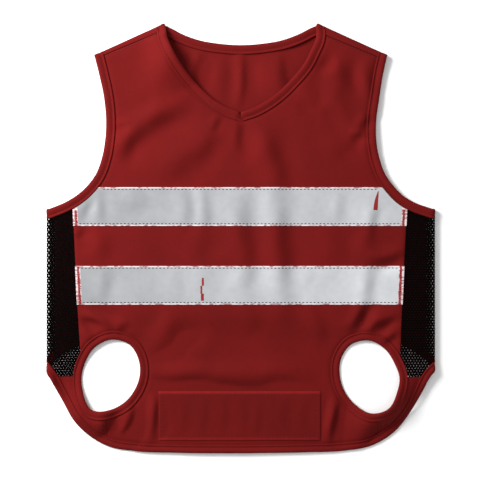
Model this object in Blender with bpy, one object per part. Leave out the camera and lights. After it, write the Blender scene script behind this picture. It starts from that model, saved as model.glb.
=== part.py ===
"""Dog safety vest, laid flat with its V neck side up.

Sizes are in millimetres and become metres where a mesh is made. +X is to the right as the
vest is seen from above, +Y points to its neck and +Z up. The back panel lies on the ground
and the front panel lies on it. The back panel turns over at the shoulders to meet the front
panel, and a net gusset turns round each side. Below the back panel's hem the front panel
comes down to the ground, and there it has the two leg openings.
"""

import math
from collections import namedtuple

import bpy
import numpy as np
from mathutils import Vector
from mathutils.geometry import delaunay_2d_cdt

MM = 0.001

# Thickness of each cloth, and the gap that parts two pieces at a seam
CLOTH = 1.2
BINDING = 1.8
TAPE = 1.0
SEAM = 0.3

# Widths of the bindings and of the tape
NECK_WIDTH = 6.2
ARMHOLE_WIDTH = 6.2
LEG_WIDTH = 5.7
HEM_WIDTH = 5.3
TAPE_WIDTH = 25.4

# How the cloth turns: round the sides and over the shoulders
SIDE_AXIS = 125.8
SIDE_RADIUS = 1.6
SHOULDER_RADIUS = 1.4
HALF_TURN_SIDE = math.pi * SIDE_RADIUS
HALF_TURN_SHOULDER = math.pi * SHOULDER_RADIUS

# Heights of the middle of the cloth above the ground
BACK_LEVEL = CLOTH / 2
FRONT_LEVEL = 3.0
SIDE_TOP = BACK_LEVEL + 2 * SIDE_RADIUS
SHOULDER_TOP = BACK_LEVEL + 2 * SHOULDER_RADIUS
BINDING_LIFT = (BINDING - CLOTH) / 2

# The line about which each shoulder turns, at its neck end and at its arm end
SHOULDER_NECK = Vector((49.5, 140.1))
SHOULDER_ARM = Vector((96.0, 119.0))

# How far the back panel comes over each shoulder to its seam, at the neck and at the arm
Strip = namedtuple("Strip", "neck arm")
STRIP_LEFT = Strip(2.3, 0.8)
STRIP_RIGHT = Strip(3.4, 1.8)

# How far in from a fold the front panel starts to rise to it
SIDE_RISE = 24.0
CORNER_RISE = 9.0
SHOULDER_RISE = 15.0
HEM_STEP = 13.0

# How far an area that is cut away reaches past the edge, the side fold and the line's ends
PAST_EDGE = 12.0
PAST_SIDE = 20.0
PAST_END = 8.0

# Spacing of the points inside a panel and along an edge
FRONT_SPACING = 8.5
BACK_SPACING = 15.0
GUSSET_SPACING = 9.0
EDGE_STEP = 8.0
FOLD_STEP = 1.6

Edge = namedtuple("Edge", "y left right")
NECK_EDGE = (
    Edge(132.0, -48.1, 49.4),
    Edge(123.4, -44.4, 45.9),
    Edge(113.5, -38.5, 40.6),
    Edge(105.0, -31.8, 33.4),
    Edge(98.0, -25.0, 26.4),
    Edge(90.8, -16.4, 17.0),
    Edge(86.1, -7.9, 8.4),
)
NECK_POINT = (0.0, 83.2)

ARMHOLE_EDGE = (
    Edge(108.2, -93.3, 93.7),
    Edge(92.4, -90.0, 91.2),
    Edge(77.2, -88.7, 89.2),
    Edge(64.7, -89.3, 89.2),
    Edge(52.8, -91.5, 91.3),
    Edge(42.2, -95.5, 95.2),
    Edge(34.3, -101.4, 100.8),
    Edge(28.4, -108.0, 106.6),
    Edge(23.8, -115.6, 114.2),
    Edge(19.6, -125.8, 125.8),
)
GUSSET_SEAM = (
    Edge(26.0, -110.9, 109.8),
    Edge(-39.0, -108.0, 106.6),
    Edge(-72.0, -106.0, 105.2),
    Edge(-84.0, -105.6, 104.8),
)

Half = namedtuple("Half", "out y")
BACK_NECK = (
    Half(45.8, 138.6),
    Half(40.0, 135.5),
    Half(28.4, 131.1),
    Half(14.0, 128.5),
    Half(0.0, 127.6),
)
HEM_BOTTOM = -141.6
FRONT_HEM_LEFT = (
    Half(0.0, HEM_BOTTOM),
    Half(43.4, -141.3),
    Half(69.8, -140.3),
    Half(85.6, -137.8),
    Half(95.6, -133.2),
    Half(103.9, -126.3),
    Half(111.4, -117.3),
    Half(116.2, -109.6),
    Half(120.9, -101.2),
    Half(125.8, -91.6),
)
FRONT_HEM_RIGHT = (
    Half(0.0, HEM_BOTTOM),
    Half(43.4, -141.0),
    Half(69.8, -139.9),
    Half(85.6, -137.0),
    Half(95.6, -132.0),
    Half(102.8, -126.3),
    Half(110.1, -117.3),
    Half(114.8, -109.6),
    Half(119.4, -101.2),
    Half(125.8, -89.6),
)
BACK_HEM = (
    Half(125.8, -84.6),
    Half(121.2, -79.4),
    Half(115.3, -75.2),
    Half(106.0, -70.0),
    Half(96.2, -65.0),
    Half(84.9, -60.0),
    Half(66.5, -54.8),
    Half(40.0, -52.0),
    Half(0.0, -50.8),
)
BACK_SIDE_SEAM = 122.5

# Leg openings: distance of the edge from the centre, 0 degrees outward and 90 to the neck
LEG_CENTRE_LEFT = (-85.6, -90.8)
LEG_CENTRE_RIGHT = (85.0, -91.1)
Reach = namedtuple("Reach", "degrees left right")
LEG_OPENING = (
    Reach(0, 19.4, 18.9),
    Reach(30, 19.3, 18.4),
    Reach(60, 21.6, 20.6),
    Reach(90, 24.0, 23.7),
    Reach(120, 24.0, 24.3),
    Reach(150, 21.0, 21.9),
    Reach(180, 18.8, 19.5),
    Reach(210, 18.0, 19.1),
    Reach(240, 19.2, 20.5),
    Reach(270, 21.9, 23.3),
    Reach(300, 25.0, 22.9),
    Reach(330, 21.2, 19.4),
)
HIP_TOP = -90.9
HIP_SEAM_LEFT = -88.2
HIP_SEAM_RIGHT = 90.2

TAPE_UPPER_MIDDLE = 21.0
TAPE_LOWER_MIDDLE = -30.8
PATCH_LEFT = -54.4
PATCH_RIGHT = 52.6
PATCH_TOP = -100.5
PATCH_BOTTOM = -133.4

# The largest folds: middle, direction of the crest, half its length, width and height
Fold = namedtuple("Fold", "x y degrees reach width height")
FOLDS = (
    Fold(-60.0, 75.0, 36, 32, 6.0, 2.6),
    Fold(-38.0, 57.0, 29, 26, 6.5, 1.8),
    Fold(19.5, 52.0, 113, 22, 6.0, 1.8),
    Fold(1.0, -10.0, 89, 58, 6.5, 1.7),
    Fold(24.0, -1.0, 91, 62, 6.0, 2.0),
    Fold(-28.0, -4.0, 92, 44, 6.5, 1.4),
    Fold(82.5, -8.0, 86, 44, 6.0, 1.8),
    Fold(-94.0, -6.0, 80, 36, 6.5, 1.4),
    Fold(67.0, 103.0, 86, 20, 6.0, 1.8),
    Fold(-1.0, -88.5, 0, 54, 6.0, 2.2),
    Fold(-41.5, 115.5, -58, 30, 9.0, 3.4),
    Fold(44.0, 114.5, 59, 27, 8.5, 2.6),
    Fold(100.0, -103.0, 46, 36, 12.0, 4.8),
    Fold(-97.0, -116.0, -42, 28, 9.0, 2.0),
)

RED = (0.27, 0.016, 0.018)
RED_BINDING = (0.30, 0.018, 0.020)
NET_BLACK = (0.012, 0.008, 0.008)
TAPE_GREY = (0.56, 0.58, 0.61)


def ease(share):
    """0 to 1 with level ends."""
    share = min(1.0, max(0.0, share))
    return share * share * (3 - 2 * share)


def mix(start, end, share):
    return start + (end - start) * share


# ---------------------------------------------------------------- lines on the cloth


def smooth_curve(points, step, closed=False):
    """A smooth line through the points, with a point every step or less."""
    knots = [Vector(p) for p in points]
    count = len(knots)
    spans = count if closed else count - 1
    chords = [(knots[(i + 1) % count] - knots[i]) for i in range(spans)]
    slopes = []
    for i in range(count):
        before = chords[i - 1] if closed or i > 0 else chords[0]
        after = chords[i % spans] if closed or i < spans else chords[-1]
        total = before.length + after.length
        slopes.append(
            before.normalized() * (after.length / total) + after.normalized() * (before.length / total)
        )
    line = []
    for i in range(spans):
        start, end = knots[i], knots[(i + 1) % count]
        length = chords[i].length
        pieces = max(1, math.ceil(length / step))
        for k in range(pieces):
            t = k / pieces
            bend_start = slopes[i] * length * (t**3 - 2 * t**2 + t)
            bend_end = slopes[(i + 1) % count] * length * (t**3 - t**2)
            line.append(mix(start, end, ease(t)) + bend_start + bend_end)
    if not closed:
        line.append(knots[-1])
    return line


def offset(line, distance, closed=False):
    """The line moved to its left by the distance, with mitred corners."""
    count = len(line)
    moved = []
    for i, point in enumerate(line):
        before = point - line[i - 1] if closed or i > 0 else line[1] - point
        after = line[(i + 1) % count] - point if closed or i < count - 1 else before
        left_before = Vector((-before.y, before.x)).normalized()
        left_after = Vector((-after.y, after.x)).normalized()
        middle = (left_before + left_after).normalized()
        moved.append(point + middle * (distance / middle.dot(left_after)))
    return moved


def lengthened(line, extra):
    """The line with both its ends carried on straight."""
    first = line[0] + (line[0] - line[1]).normalized() * extra
    last = line[-1] + (line[-1] - line[-2]).normalized() * extra
    return [first] + line + [last]


def beside(line, near, far):
    """The closed outline of what lies between two distances to the line's left."""
    long_line = lengthened(line, PAST_END)
    return offset(long_line, near) + offset(long_line, far)[::-1]


def edge_points(rows, side):
    return [Vector((row.left if side < 0 else row.right, row.y)) for row in rows]


def mirrored(point, side):
    return Vector((side * point.x, point.y))


def shoulder_ends(side):
    return mirrored(SHOULDER_NECK, side), mirrored(SHOULDER_ARM, side)


def shoulder_outward(side):
    """The level direction that points out of the vest, square to the shoulder."""
    along = SHOULDER_ARM - SHOULDER_NECK
    return mirrored(Vector((-along.y, along.x)).normalized(), side)


def shoulder_strip(side):
    return STRIP_LEFT if side < 0 else STRIP_RIGHT


def neck_half(side):
    """The front neck edge, from the shoulder down to the point of the V."""
    return [shoulder_ends(side)[0]] + edge_points(NECK_EDGE, side) + [Vector(NECK_POINT)]


def front_neck_line():
    """The front neck edge, left shoulder to right shoulder, with the cloth on its right."""
    left = smooth_curve(neck_half(-1), EDGE_STEP)
    right = smooth_curve(neck_half(1), EDGE_STEP)
    return left + right[-2::-1], len(left) - 1


def back_neck_line():
    """The back neck edge, left shoulder to right shoulder."""
    half = [Vector((row.out, row.y)) for row in BACK_NECK]
    left = [shoulder_ends(-1)[0]] + [mirrored(p, -1) for p in half]
    right = half[-2::-1] + [shoulder_ends(1)[0]]
    return smooth_curve(left + right, EDGE_STEP)


def armhole_line(side):
    """The armhole edge from the shoulder down to the side fold, the same front and back."""
    return smooth_curve([shoulder_ends(side)[1]] + edge_points(ARMHOLE_EDGE, side), EDGE_STEP)


def folded_under(out):
    """Distance along the cloth from the middle of the front, to a place on the back."""
    return 2 * SIDE_AXIS + HALF_TURN_SIDE - out


def hem_half(side):
    """The hem along the cloth: middle of the front, round the side fold, middle of the back.

    Its points are close together only where it goes round the fold."""
    rows = FRONT_HEM_LEFT if side < 0 else FRONT_HEM_RIGHT
    front = [Vector((row.out, row.y)) for row in rows]
    back = [Vector((folded_under(row.out), row.y)) for row in BACK_HEM]
    fine = smooth_curve(front + back, FOLD_STEP)
    line = [fine[0]]
    for point in fine[1:-1]:
        from_fold = abs(point.x - SIDE_AXIS - HALF_TURN_SIDE / 2)
        if from_fold < HALF_TURN_SIDE or (point - line[-1]).length > EDGE_STEP:
            line.append(point)
    return line + [fine[-1]]


def front_hem_line():
    """The front hem from fold to fold, left to right."""
    left, right = (
        [mirrored(p, side) for p in hem_half(side) if p.x <= SIDE_AXIS + SIDE_RADIUS] for side in (-1, 1)
    )
    return left[:0:-1] + right


def back_hem_line():
    """The back hem from fold to fold, left to right."""
    start = SIDE_AXIS + HALF_TURN_SIDE
    left, right = (
        [Vector((side * folded_under(p.x), p.y)) for p in hem_half(side) if p.x >= start - SIDE_RADIUS]
        for side in (-1, 1)
    )
    return left + right[-2::-1]


def leg_line(side):
    """The edge of a leg opening, with the cloth on its left."""
    centre = Vector(LEG_CENTRE_LEFT if side < 0 else LEG_CENTRE_RIGHT)
    points = []
    for row in LEG_OPENING:
        turn = math.radians(row.degrees)
        reach = row.left if side < 0 else row.right
        points.append(centre + Vector((side * math.cos(turn), math.sin(turn))) * reach)
    if side > 0:
        points = points[::-1]
    return smooth_curve(points, EDGE_STEP, closed=True)


# ---------------------------------------------------------------- how the cloth lies


def back_hem_y(out):
    """Where the back panel ends, for a distance from the middle."""
    rows = sorted(BACK_HEM)
    return float(np.interp(out, [row.out for row in rows], [row.y for row in rows]))


def fold_rise(x, y):
    """How much the folds lift the front panel."""
    rise = 0.0
    for fold in FOLDS:
        turn = math.radians(fold.degrees)
        along = (x - fold.x) * math.cos(turn) + (y - fold.y) * math.sin(turn)
        across = (y - fold.y) * math.cos(turn) - (x - fold.x) * math.sin(turn)
        if abs(along) < fold.reach:
            taper = (1 - (along / fold.reach) ** 2) ** 2
            rise += fold.height * taper * math.exp(-((across / fold.width) ** 2))
    return rise


def front_height(x, y):
    """Height of the middle of the front panel's cloth."""
    out = abs(x)
    down = ease((back_hem_y(out) - y) / HEM_STEP)
    height = mix(FRONT_LEVEL, BACK_LEVEL, down) + fold_rise(x, y)
    inside = SIDE_AXIS - out
    height = mix(height, SIDE_TOP, ease(1 - inside / mix(SIDE_RISE, CORNER_RISE, down)))
    below = (Vector((out, y)) - SHOULDER_NECK).dot(-shoulder_outward(1))
    return mix(height, SHOULDER_TOP, ease(1 - below / SHOULDER_RISE))


def lay_front(side, lift=0.0):
    """Lays cloth by its distance from the middle, round the side fold and back underneath.

    Gives the middle of the cloth and the direction that its outer face looks."""

    def place(point):
        past = point.x - SIDE_AXIS
        if past <= 0:
            x = side * point.x
            return Vector((x, point.y, front_height(x, point.y) + lift)), Vector((0, 0, 1))
        turn = past / SIDE_RADIUS
        if turn < math.pi:
            face = Vector((side * math.sin(turn), 0, math.cos(turn)))
            axis = Vector((side * SIDE_AXIS, point.y, BACK_LEVEL + SIDE_RADIUS))
            return axis + face * (SIDE_RADIUS + lift * math.cos(turn)), face
        x = side * (SIDE_AXIS - (past - HALF_TURN_SIDE))
        return Vector((x, point.y, BACK_LEVEL + lift)), Vector((0, 0, -1))

    return place


def lay_back(side, lift=0.0):
    """Lays cloth on the ground, and turns it up over a shoulder where it goes past it."""
    outward = shoulder_outward(side)
    neck = shoulder_ends(side)[0]

    def place(point):
        past = (point - neck).dot(outward)
        if past <= 0:
            return Vector((point.x, point.y, BACK_LEVEL + lift)), Vector((0, 0, -1))
        foot = point - outward * past
        turn = past / SHOULDER_RADIUS
        if turn < math.pi:
            face = (outward * math.sin(turn)).to_3d() - Vector((0, 0, math.cos(turn)))
            axis = Vector((foot.x, foot.y, BACK_LEVEL + SHOULDER_RADIUS))
            return axis + face * (SHOULDER_RADIUS - lift * math.cos(turn)), face
        over = foot - outward * (past - HALF_TURN_SHOULDER)
        return Vector((over.x, over.y, front_height(over.x, over.y) + lift)), Vector((0, 0, 1))

    return place


# ---------------------------------------------------------------- solids


def make_solid(name, points, faces, colour, roughness):
    """One closed mesh object, in metres, with its faces turned outward."""
    volume = 0.0
    for face in faces:
        for k in range(1, len(face) - 1):
            a, b, c = points[face[0]], points[face[k]], points[face[k + 1]]
            volume += a.dot(b.cross(c))
    if volume < 0:
        faces = [face[::-1] for face in faces]
    mesh = bpy.data.meshes.new(name)
    mesh.from_pydata([p * MM for p in points], [], faces)
    mesh.shade_smooth()
    mesh.set_sharp_from_angle(angle=math.radians(50))
    material = bpy.data.materials.get(colour) or bpy.data.materials.new(colour)
    material.use_nodes = True
    shader = material.node_tree.nodes["Principled BSDF"]
    shader.inputs["Base Color"].default_value = (*COLOURS[colour], 1)
    shader.inputs["Roughness"].default_value = roughness
    mesh.materials.append(material)
    piece = bpy.data.objects.new(name, mesh)
    bpy.context.scene.collection.objects.link(piece)
    return piece


COLOURS = {
    "red_cloth": RED,
    "red_binding": RED_BINDING,
    "black_net": NET_BLACK,
    "grey_tape": TAPE_GREY,
}


def inside(points, outline):
    """For each point, whether it lies inside the closed outline."""
    x, y = points[:, 0], points[:, 1]
    found = np.zeros(len(points), bool)
    for a, b in zip(outline, outline[1:] + outline[:1]):
        if a.y != b.y:
            crosses = (a.y > y) != (b.y > y)
            found ^= crosses & (x < (b.x - a.x) * (y - a.y) / (b.y - a.y) + a.x)
    return found


def clear_of(points, segments, distance):
    """The points that lie further than the distance from every segment."""
    kept = np.ones(len(points), bool)
    for a, b in segments:
        run = b - a
        share = ((points - a) @ run) / max(run @ run, 1e-9)
        nearest = a + np.clip(share, 0, 1)[:, None] * run
        kept &= np.linalg.norm(points - nearest, axis=1) > distance
    return points[kept]


def stepped(line, step, closed):
    """The line with points added so that none of its stretches is longer than the step."""
    ends = line[1:] + line[:1] if closed else line[1:]
    points = []
    for start, end in zip(line, ends):
        pieces = max(1, round((end - start).length / step))
        points += [mix(start, end, k / pieces) for k in range(pieces)]
    return points if closed else points + [line[-1]]


def triangulate(outlines, lines, spacing):
    """Triangles between the outlines and lines, with evenly spaced points between them."""
    coords, edges = [], []
    for line, closed in [(o, True) for o in outlines] + [(line, False) for line in lines]:
        first = len(coords)
        line = stepped(line, spacing, closed)
        coords += [tuple(p) for p in line]
        edges += [(first + k, first + k + 1) for k in range(len(line) - 1)]
        if closed:
            edges.append((len(coords) - 1, first))
    fixed = np.array(coords)
    low, high = fixed.min(axis=0), fixed.max(axis=0)
    row_height = spacing * math.sqrt(3) / 2
    grid = []
    for row in range(int((high[1] - low[1]) / row_height) + 1):
        start = low[0] + (row % 2) * spacing / 2
        grid += [(x, low[1] + row * row_height) for x in np.arange(start, high[0], spacing)]
    segments = [(fixed[a], fixed[b]) for a, b in edges]
    grid = clear_of(np.array(grid), segments, spacing * 0.5)
    points = [Vector(c) for c in coords] + [Vector(c) for c in grid.tolist()]
    points, _, faces = delaunay_2d_cdt(points, edges, [], 0, 1e-4)[:3]
    return points, [tuple(face) for face in faces]


def choose(points, faces, kept, dropped):
    """The triangles inside all kept outlines and no dropped one, as one connected piece."""
    middles = np.array([sum((points[k] for k in face), Vector((0, 0))) / 3 for face in faces])
    wanted = np.ones(len(faces), bool)
    for outline in kept:
        wanted &= inside(middles, outline)
    for outline in dropped:
        wanted &= ~inside(middles, outline)
    by_edge = {}
    for index in np.flatnonzero(wanted):
        face = faces[index]
        for a, b in zip(face, face[1:] + face[:1]):
            by_edge.setdefault(frozenset((a, b)), []).append(index)
    left = set(np.flatnonzero(wanted).tolist())
    largest = []
    while left:
        group, waiting = [], [left.pop()]
        while waiting:
            index = waiting.pop()
            group.append(index)
            face = faces[index]
            for a, b in zip(face, face[1:] + face[:1]):
                for other in by_edge[frozenset((a, b))]:
                    if other in left:
                        left.remove(other)
                        waiting.append(other)
        largest = max(largest, group, key=len)
    return [faces[index] for index in sorted(largest)]


def sheet(name, points, faces, place, thickness, colour, roughness, above=0.0):
    """A wall of cloth on its triangles. Above moves it out, onto the cloth that carries it."""
    used = sorted({k for face in faces for k in face})
    order = {k: i for i, k in enumerate(used)}
    count = len(used)
    outer, inner = [], []
    for k in used:
        middle, face_out = place(points[k])
        middle = middle + face_out * above
        outer.append(middle + face_out * (thickness / 2))
        inner.append(middle - face_out * (thickness / 2))
    top = [tuple(order[k] for k in face) for face in faces]
    directed = {(a, b) for face in top for a, b in zip(face, face[1:] + face[:1])}
    rim = [(a, b) for a, b in sorted(directed) if (b, a) not in directed]
    solid = top + [tuple(count + k for k in face[::-1]) for face in top]
    for a, b in rim:
        solid += [(a, count + a, count + b), (a, count + b, b)]
    return make_solid(name, outer + inner, solid, colour, roughness)


# Across a binding: share of its width, and share of half its thickness
BINDING_SECTION = ((0.0, 0.6), (0.17, 1.0), (0.83, 1.0), (1.0, 0.6))


def across(line, width, closed=False):
    """For each point of an edge, the points across the binding that starts there."""
    rails = [offset(line, width * share, closed) for share, _ in BINDING_SECTION]
    return [list(station) for station in zip(*rails)]


def placed(stations, place):
    return [[place(point) for point in station] for station in stations]


def strip(name, stations, closed):
    """A binding: its rounded section at each station, joined from one to the next."""
    points = []
    for station in stations:
        heights = [share * BINDING / 2 for _, share in BINDING_SECTION]
        ring = [mid + out * h for (mid, out), h in zip(station, heights)]
        ring += [mid - out * h for (mid, out), h in zip(station[::-1], heights[::-1])]
        points += ring
    size = 2 * len(BINDING_SECTION)
    count = len(stations)
    faces = []
    for i in range(count if closed else count - 1):
        here, there = i * size, (i + 1) % count * size
        for k in range(size):
            after = (k + 1) % size
            faces.append((here + k, there + k, there + after))
            faces.append((here + k, there + after, here + after))
    if not closed:
        last = (count - 1) * size
        faces.append(tuple(range(size)))
        faces.append(tuple(last + k for k in reversed(range(size))))
    return make_solid(name, points, faces, "red_binding", 0.8)


# ---------------------------------------------------------------- areas taken by the edges


def armhole_area(side):
    line = armhole_line(side)
    return beside(line, -side * (ARMHOLE_WIDTH + SEAM), side * PAST_EDGE)


def neck_area():
    return beside(front_neck_line()[0], -(NECK_WIDTH + SEAM), PAST_EDGE)


def hem_area(line):
    return beside(line, HEM_WIDTH + SEAM, -PAST_EDGE)


def leg_area(side):
    line = leg_line(side)
    return offset(line, LEG_WIDTH + SEAM, closed=True)


def shoulder_area(side, gap):
    """What the back panel covers on the front, from the shoulder to its seam."""
    outward = shoulder_outward(side)
    ends = [
        end - outward * (strip + gap) for end, strip in zip(shoulder_ends(side), shoulder_strip(side))
    ]
    seam = lengthened(ends, PAST_END)
    return seam + [point + outward * PAST_EDGE for point in seam[::-1]]


def gusset_area(side, gap):
    """The net's front part, out to past the side fold."""
    seam = [p - Vector((side * gap, 0)) for p in edge_points(GUSSET_SEAM, side)]
    far = side * (SIDE_AXIS + PAST_SIDE)
    return seam + [Vector((far, seam[-1].y)), Vector((far, seam[0].y))]


def hip_area(side, gap):
    """Everything outside the seam under a leg opening, below the net."""
    seam = (HIP_SEAM_LEFT if side < 0 else HIP_SEAM_RIGHT) - side * gap
    far = side * (SIDE_AXIS + PAST_SIDE)
    low = HEM_BOTTOM - PAST_SIDE
    top = HIP_TOP + gap
    return [Vector((seam, low)), Vector((seam, top)), Vector((far, top)), Vector((far, low))]


def rectangle(left, right, bottom, top):
    return [Vector((left, bottom)), Vector((right, bottom)), Vector((right, top)), Vector((left, top))]


def tape_area(middle):
    far = SIDE_AXIS + PAST_SIDE
    return rectangle(-far, far, middle - TAPE_WIDTH / 2, middle + TAPE_WIDTH / 2)


# ---------------------------------------------------------------- the pieces


def front_outline():
    neck = front_neck_line()[0]
    return armhole_line(-1) + front_hem_line() + armhole_line(1)[::-1] + neck[::-1]


def make_front():
    """The front panel, the hip pieces, and what is sewn on the panel, from one net of points."""
    whole = front_outline()
    edges = [neck_area(), hem_area(front_hem_line())]
    for side in (-1, 1):
        edges += [armhole_area(side), leg_area(side)]
    half = SEAM / 2
    beyond = [area(side, half) for side in (-1, 1) for area in (shoulder_area, gusset_area, hip_area)]
    hips = [hip_area(side, -half) for side in (-1, 1)]
    tapes = [tape_area(TAPE_UPPER_MIDDLE), tape_area(TAPE_LOWER_MIDDLE)]
    patch = rectangle(PATCH_LEFT, PATCH_RIGHT, PATCH_BOTTOM, PATCH_TOP)
    points, faces = triangulate([whole] + edges + beyond + hips + tapes + [patch], [], FRONT_SPACING)

    def place(point):
        return Vector((point.x, point.y, front_height(point.x, point.y))), Vector((0, 0, 1))

    dropped = edges + beyond
    panel = choose(points, faces, [whole], dropped)
    sheet("front_panel", points, panel, place, CLOTH, "red_cloth", 0.85)
    for name, hip in zip(("hip_piece_left", "hip_piece_right"), hips):
        chosen = choose(points, faces, [whole, hip], edges)
        sheet(name, points, chosen, place, CLOTH, "red_cloth", 0.85)
    sewn_on = (
        ("tape_upper", tapes[0], TAPE, "grey_tape", 0.5),
        ("tape_lower", tapes[1], TAPE, "grey_tape", 0.5),
        ("patch", patch, CLOTH, "red_cloth", 0.85),
    )
    for name, area, thickness, colour, roughness in sewn_on:
        chosen = choose(points, faces, [whole, area], dropped)
        above = CLOTH / 2 + SEAM + thickness / 2
        sheet(name, points, chosen, place, thickness, colour, roughness, above)


def turned_over(side, line, strip):
    """The start of a front edge, unrolled past the shoulder onto the back panel's pattern."""
    outward = shoulder_outward(side)
    neck = shoulder_ends(side)[0]
    foot = line[0]
    step = line[1] - line[0]
    drop = -(step.dot(outward))
    end = foot + step * ((strip - SEAM / 2) / drop)
    past = -((end - neck).dot(outward))
    return [end + outward * (2 * past + HALF_TURN_SHOULDER), foot + outward * HALF_TURN_SHOULDER]


def make_back():
    """The back panel, with the strip that turns over each shoulder."""
    arm, arm_areas, bends = {}, [], []
    for side in (-1, 1):
        line = armhole_line(side)
        arm[side] = turned_over(side, line, shoulder_strip(side).arm) + line
        arm_areas.append(beside(arm[side], -side * (ARMHOLE_WIDTH + SEAM), side * PAST_EDGE))
        neck_end, arm_end = shoulder_ends(side)
        for quarter in range(5):
            out = shoulder_outward(side) * (HALF_TURN_SHOULDER * quarter / 4)
            bends.append([neck_end + out, arm_end + out])
    left_strip = turned_over(-1, neck_half(-1), STRIP_LEFT.neck)
    right_strip = turned_over(1, neck_half(1), STRIP_RIGHT.neck)
    neck = left_strip + back_neck_line() + right_strip[::-1]
    hem = back_hem_line()
    whole = arm[-1] + hem + arm[1][::-1] + neck[::-1]
    areas = arm_areas + [beside(neck, -(NECK_WIDTH + SEAM), PAST_EDGE), hem_area(hem)]
    out = BACK_SIDE_SEAM - SEAM / 2
    sides = rectangle(-out, out, BACK_HEM[0].y - PAST_SIDE, SHOULDER_NECK.y + PAST_SIDE)
    points, faces = triangulate([whole, sides] + areas, bends, BACK_SPACING)

    def place(point):
        return lay_back(-1 if point.x < 0 else 1)(point)

    chosen = choose(points, faces, [whole, sides], areas)
    sheet("back_panel", points, chosen, place, CLOTH, "red_cloth", 0.85)


def make_gusset(name, side):
    """The net at one side, from the front panel's seam round the fold to the back panel's."""

    def along_cloth(outline):
        return [Vector((side * p.x, p.y)) for p in outline]

    armhole = along_cloth(armhole_line(side))
    under = [Vector((folded_under(p.x), p.y)) for p in armhole[::-1]]
    armhole_notch = beside(armhole + under, -(ARMHOLE_WIDTH + SEAM), PAST_EDGE)
    hem = beside(hem_half(side), HEM_WIDTH + SEAM, -PAST_EDGE)
    leg = along_cloth(leg_area(side))
    hip = rectangle(0, SIDE_AXIS, HEM_BOTTOM, HIP_TOP + SEAM / 2)
    seam = [p + Vector((SEAM / 2, 0)) for p in along_cloth(edge_points(GUSSET_SEAM, side))]
    far = folded_under(BACK_SIDE_SEAM + SEAM / 2)
    low = HIP_TOP - PAST_END
    whole = seam + [Vector((seam[-1].x, low)), Vector((far, low)), Vector((far, seam[0].y))]
    bends = []
    for quarter in range(5):
        at = SIDE_AXIS + HALF_TURN_SIDE * quarter / 4
        bends.append([Vector((at, seam[0].y)), Vector((at, low))])
    areas = [armhole_notch, hem, leg, hip]
    points, faces = triangulate([whole] + areas, bends, GUSSET_SPACING)
    chosen = choose(points, faces, [whole], areas)
    sheet(name, points, chosen, lay_front(side), CLOTH, "black_net", 0.9)


def over_shoulder(side, start, end):
    """Binding stations that turn over a shoulder from the front to the back, ends left out."""
    outward = shoulder_outward(side)
    place = lay_back(side, BINDING_LIFT)
    stations = []
    for quarter in (3, 2, 1):
        out = outward * (HALF_TURN_SHOULDER * quarter / 4)
        station = []
        for share, _ in BINDING_SECTION:
            station.append(place(mix(start, end, share) + out))
        stations.append(station)
    return stations


def make_armhole_binding(name, side):
    """One closed loop: down the front, round the side fold, up the back, over the shoulder."""
    front = [Vector((side * p.x, p.y)) for p in armhole_line(side)]
    turn = [front[-1] + Vector((HALF_TURN_SIDE * quarter / 4, 0)) for quarter in (1, 2, 3)]
    under = [Vector((folded_under(p.x), p.y)) for p in front[::-1]]
    stations = placed(across(front + turn + under, -ARMHOLE_WIDTH), lay_front(side, BINDING_LIFT))
    neck, arm = shoulder_ends(side)
    inner = arm + (neck - arm).normalized() * ARMHOLE_WIDTH
    stations += over_shoulder(side, arm, inner)[::-1]
    return strip(name, stations, closed=True)


def make_neck_binding():
    """One strip, mitred at the V: up the left front, round the back neck, down the right."""
    line, point = front_neck_line()
    front = across(line, -NECK_WIDTH)
    left_front = [list(station) for station in front[: point + 1]]
    right_front = [list(station) for station in front[point:]]
    left_front[-1] = [p - Vector((SEAM / 2, 0)) for p in left_front[-1]]
    right_front[0] = [p + Vector((SEAM / 2, 0)) for p in right_front[0]]

    def on_front(p):
        return Vector((p.x, p.y, front_height(p.x, p.y) + BINDING_LIFT)), Vector((0, 0, 1))

    def on_back(p):
        return Vector((p.x, p.y, BACK_LEVEL + BINDING_LIFT)), Vector((0, 0, -1))

    stations = placed(left_front[::-1], on_front)
    for side in (-1, 1):
        neck, arm = shoulder_ends(side)
        turned = over_shoulder(side, neck, neck + (arm - neck).normalized() * NECK_WIDTH)
        if side < 0:
            stations += turned + placed(across(back_neck_line(), -NECK_WIDTH), on_back)
        else:
            stations += turned[::-1]
    stations += placed(right_front[::-1], on_front)
    return strip("neck_binding", stations, closed=False)


def make_leg_binding(name, side):
    place = lay_front(1, BINDING_LIFT)
    stations = []
    for station in across(leg_line(side), LEG_WIDTH, closed=True):
        stations.append([place(point) for point in station])
    return strip(name, stations, closed=True)


def make_hem_binding():
    """One closed loop: the front hem, both side folds and the back hem."""
    left, right = (
        placed(across(hem_half(side), HEM_WIDTH), lay_front(side, BINDING_LIFT)) for side in (-1, 1)
    )
    return strip("hem_binding", left + right[-2:0:-1], closed=True)


def main():
    for obj in list(bpy.data.objects):
        bpy.data.objects.remove(obj, do_unlink=True)
    make_front()
    make_back()
    for side, word in ((-1, "left"), (1, "right")):
        make_gusset(f"side_mesh_{word}", side)
        make_armhole_binding(f"armhole_binding_{word}", side)
        make_leg_binding(f"leg_binding_{word}", side)
    make_neck_binding()
    make_hem_binding()


main()
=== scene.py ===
"""Looks of a dog safety vest that lies flat with its V neck side up.

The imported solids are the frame. Each of them is replaced by a thin sheet of cloth that lies on
its form, with the small creases, stitches, net and finish that the solids leave out. The edges
below are the vest's own pattern. Tables and cloth are worked out in millimetres, and become
metres where a mesh is made. Run it as a script in Blender 4.5.
"""

import math
from collections import namedtuple

import bpy
import numpy as np
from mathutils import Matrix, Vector
from mathutils.bvhtree import BVHTree
from mathutils.geometry import delaunay_2d_cdt
from mathutils.kdtree import KDTree


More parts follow.
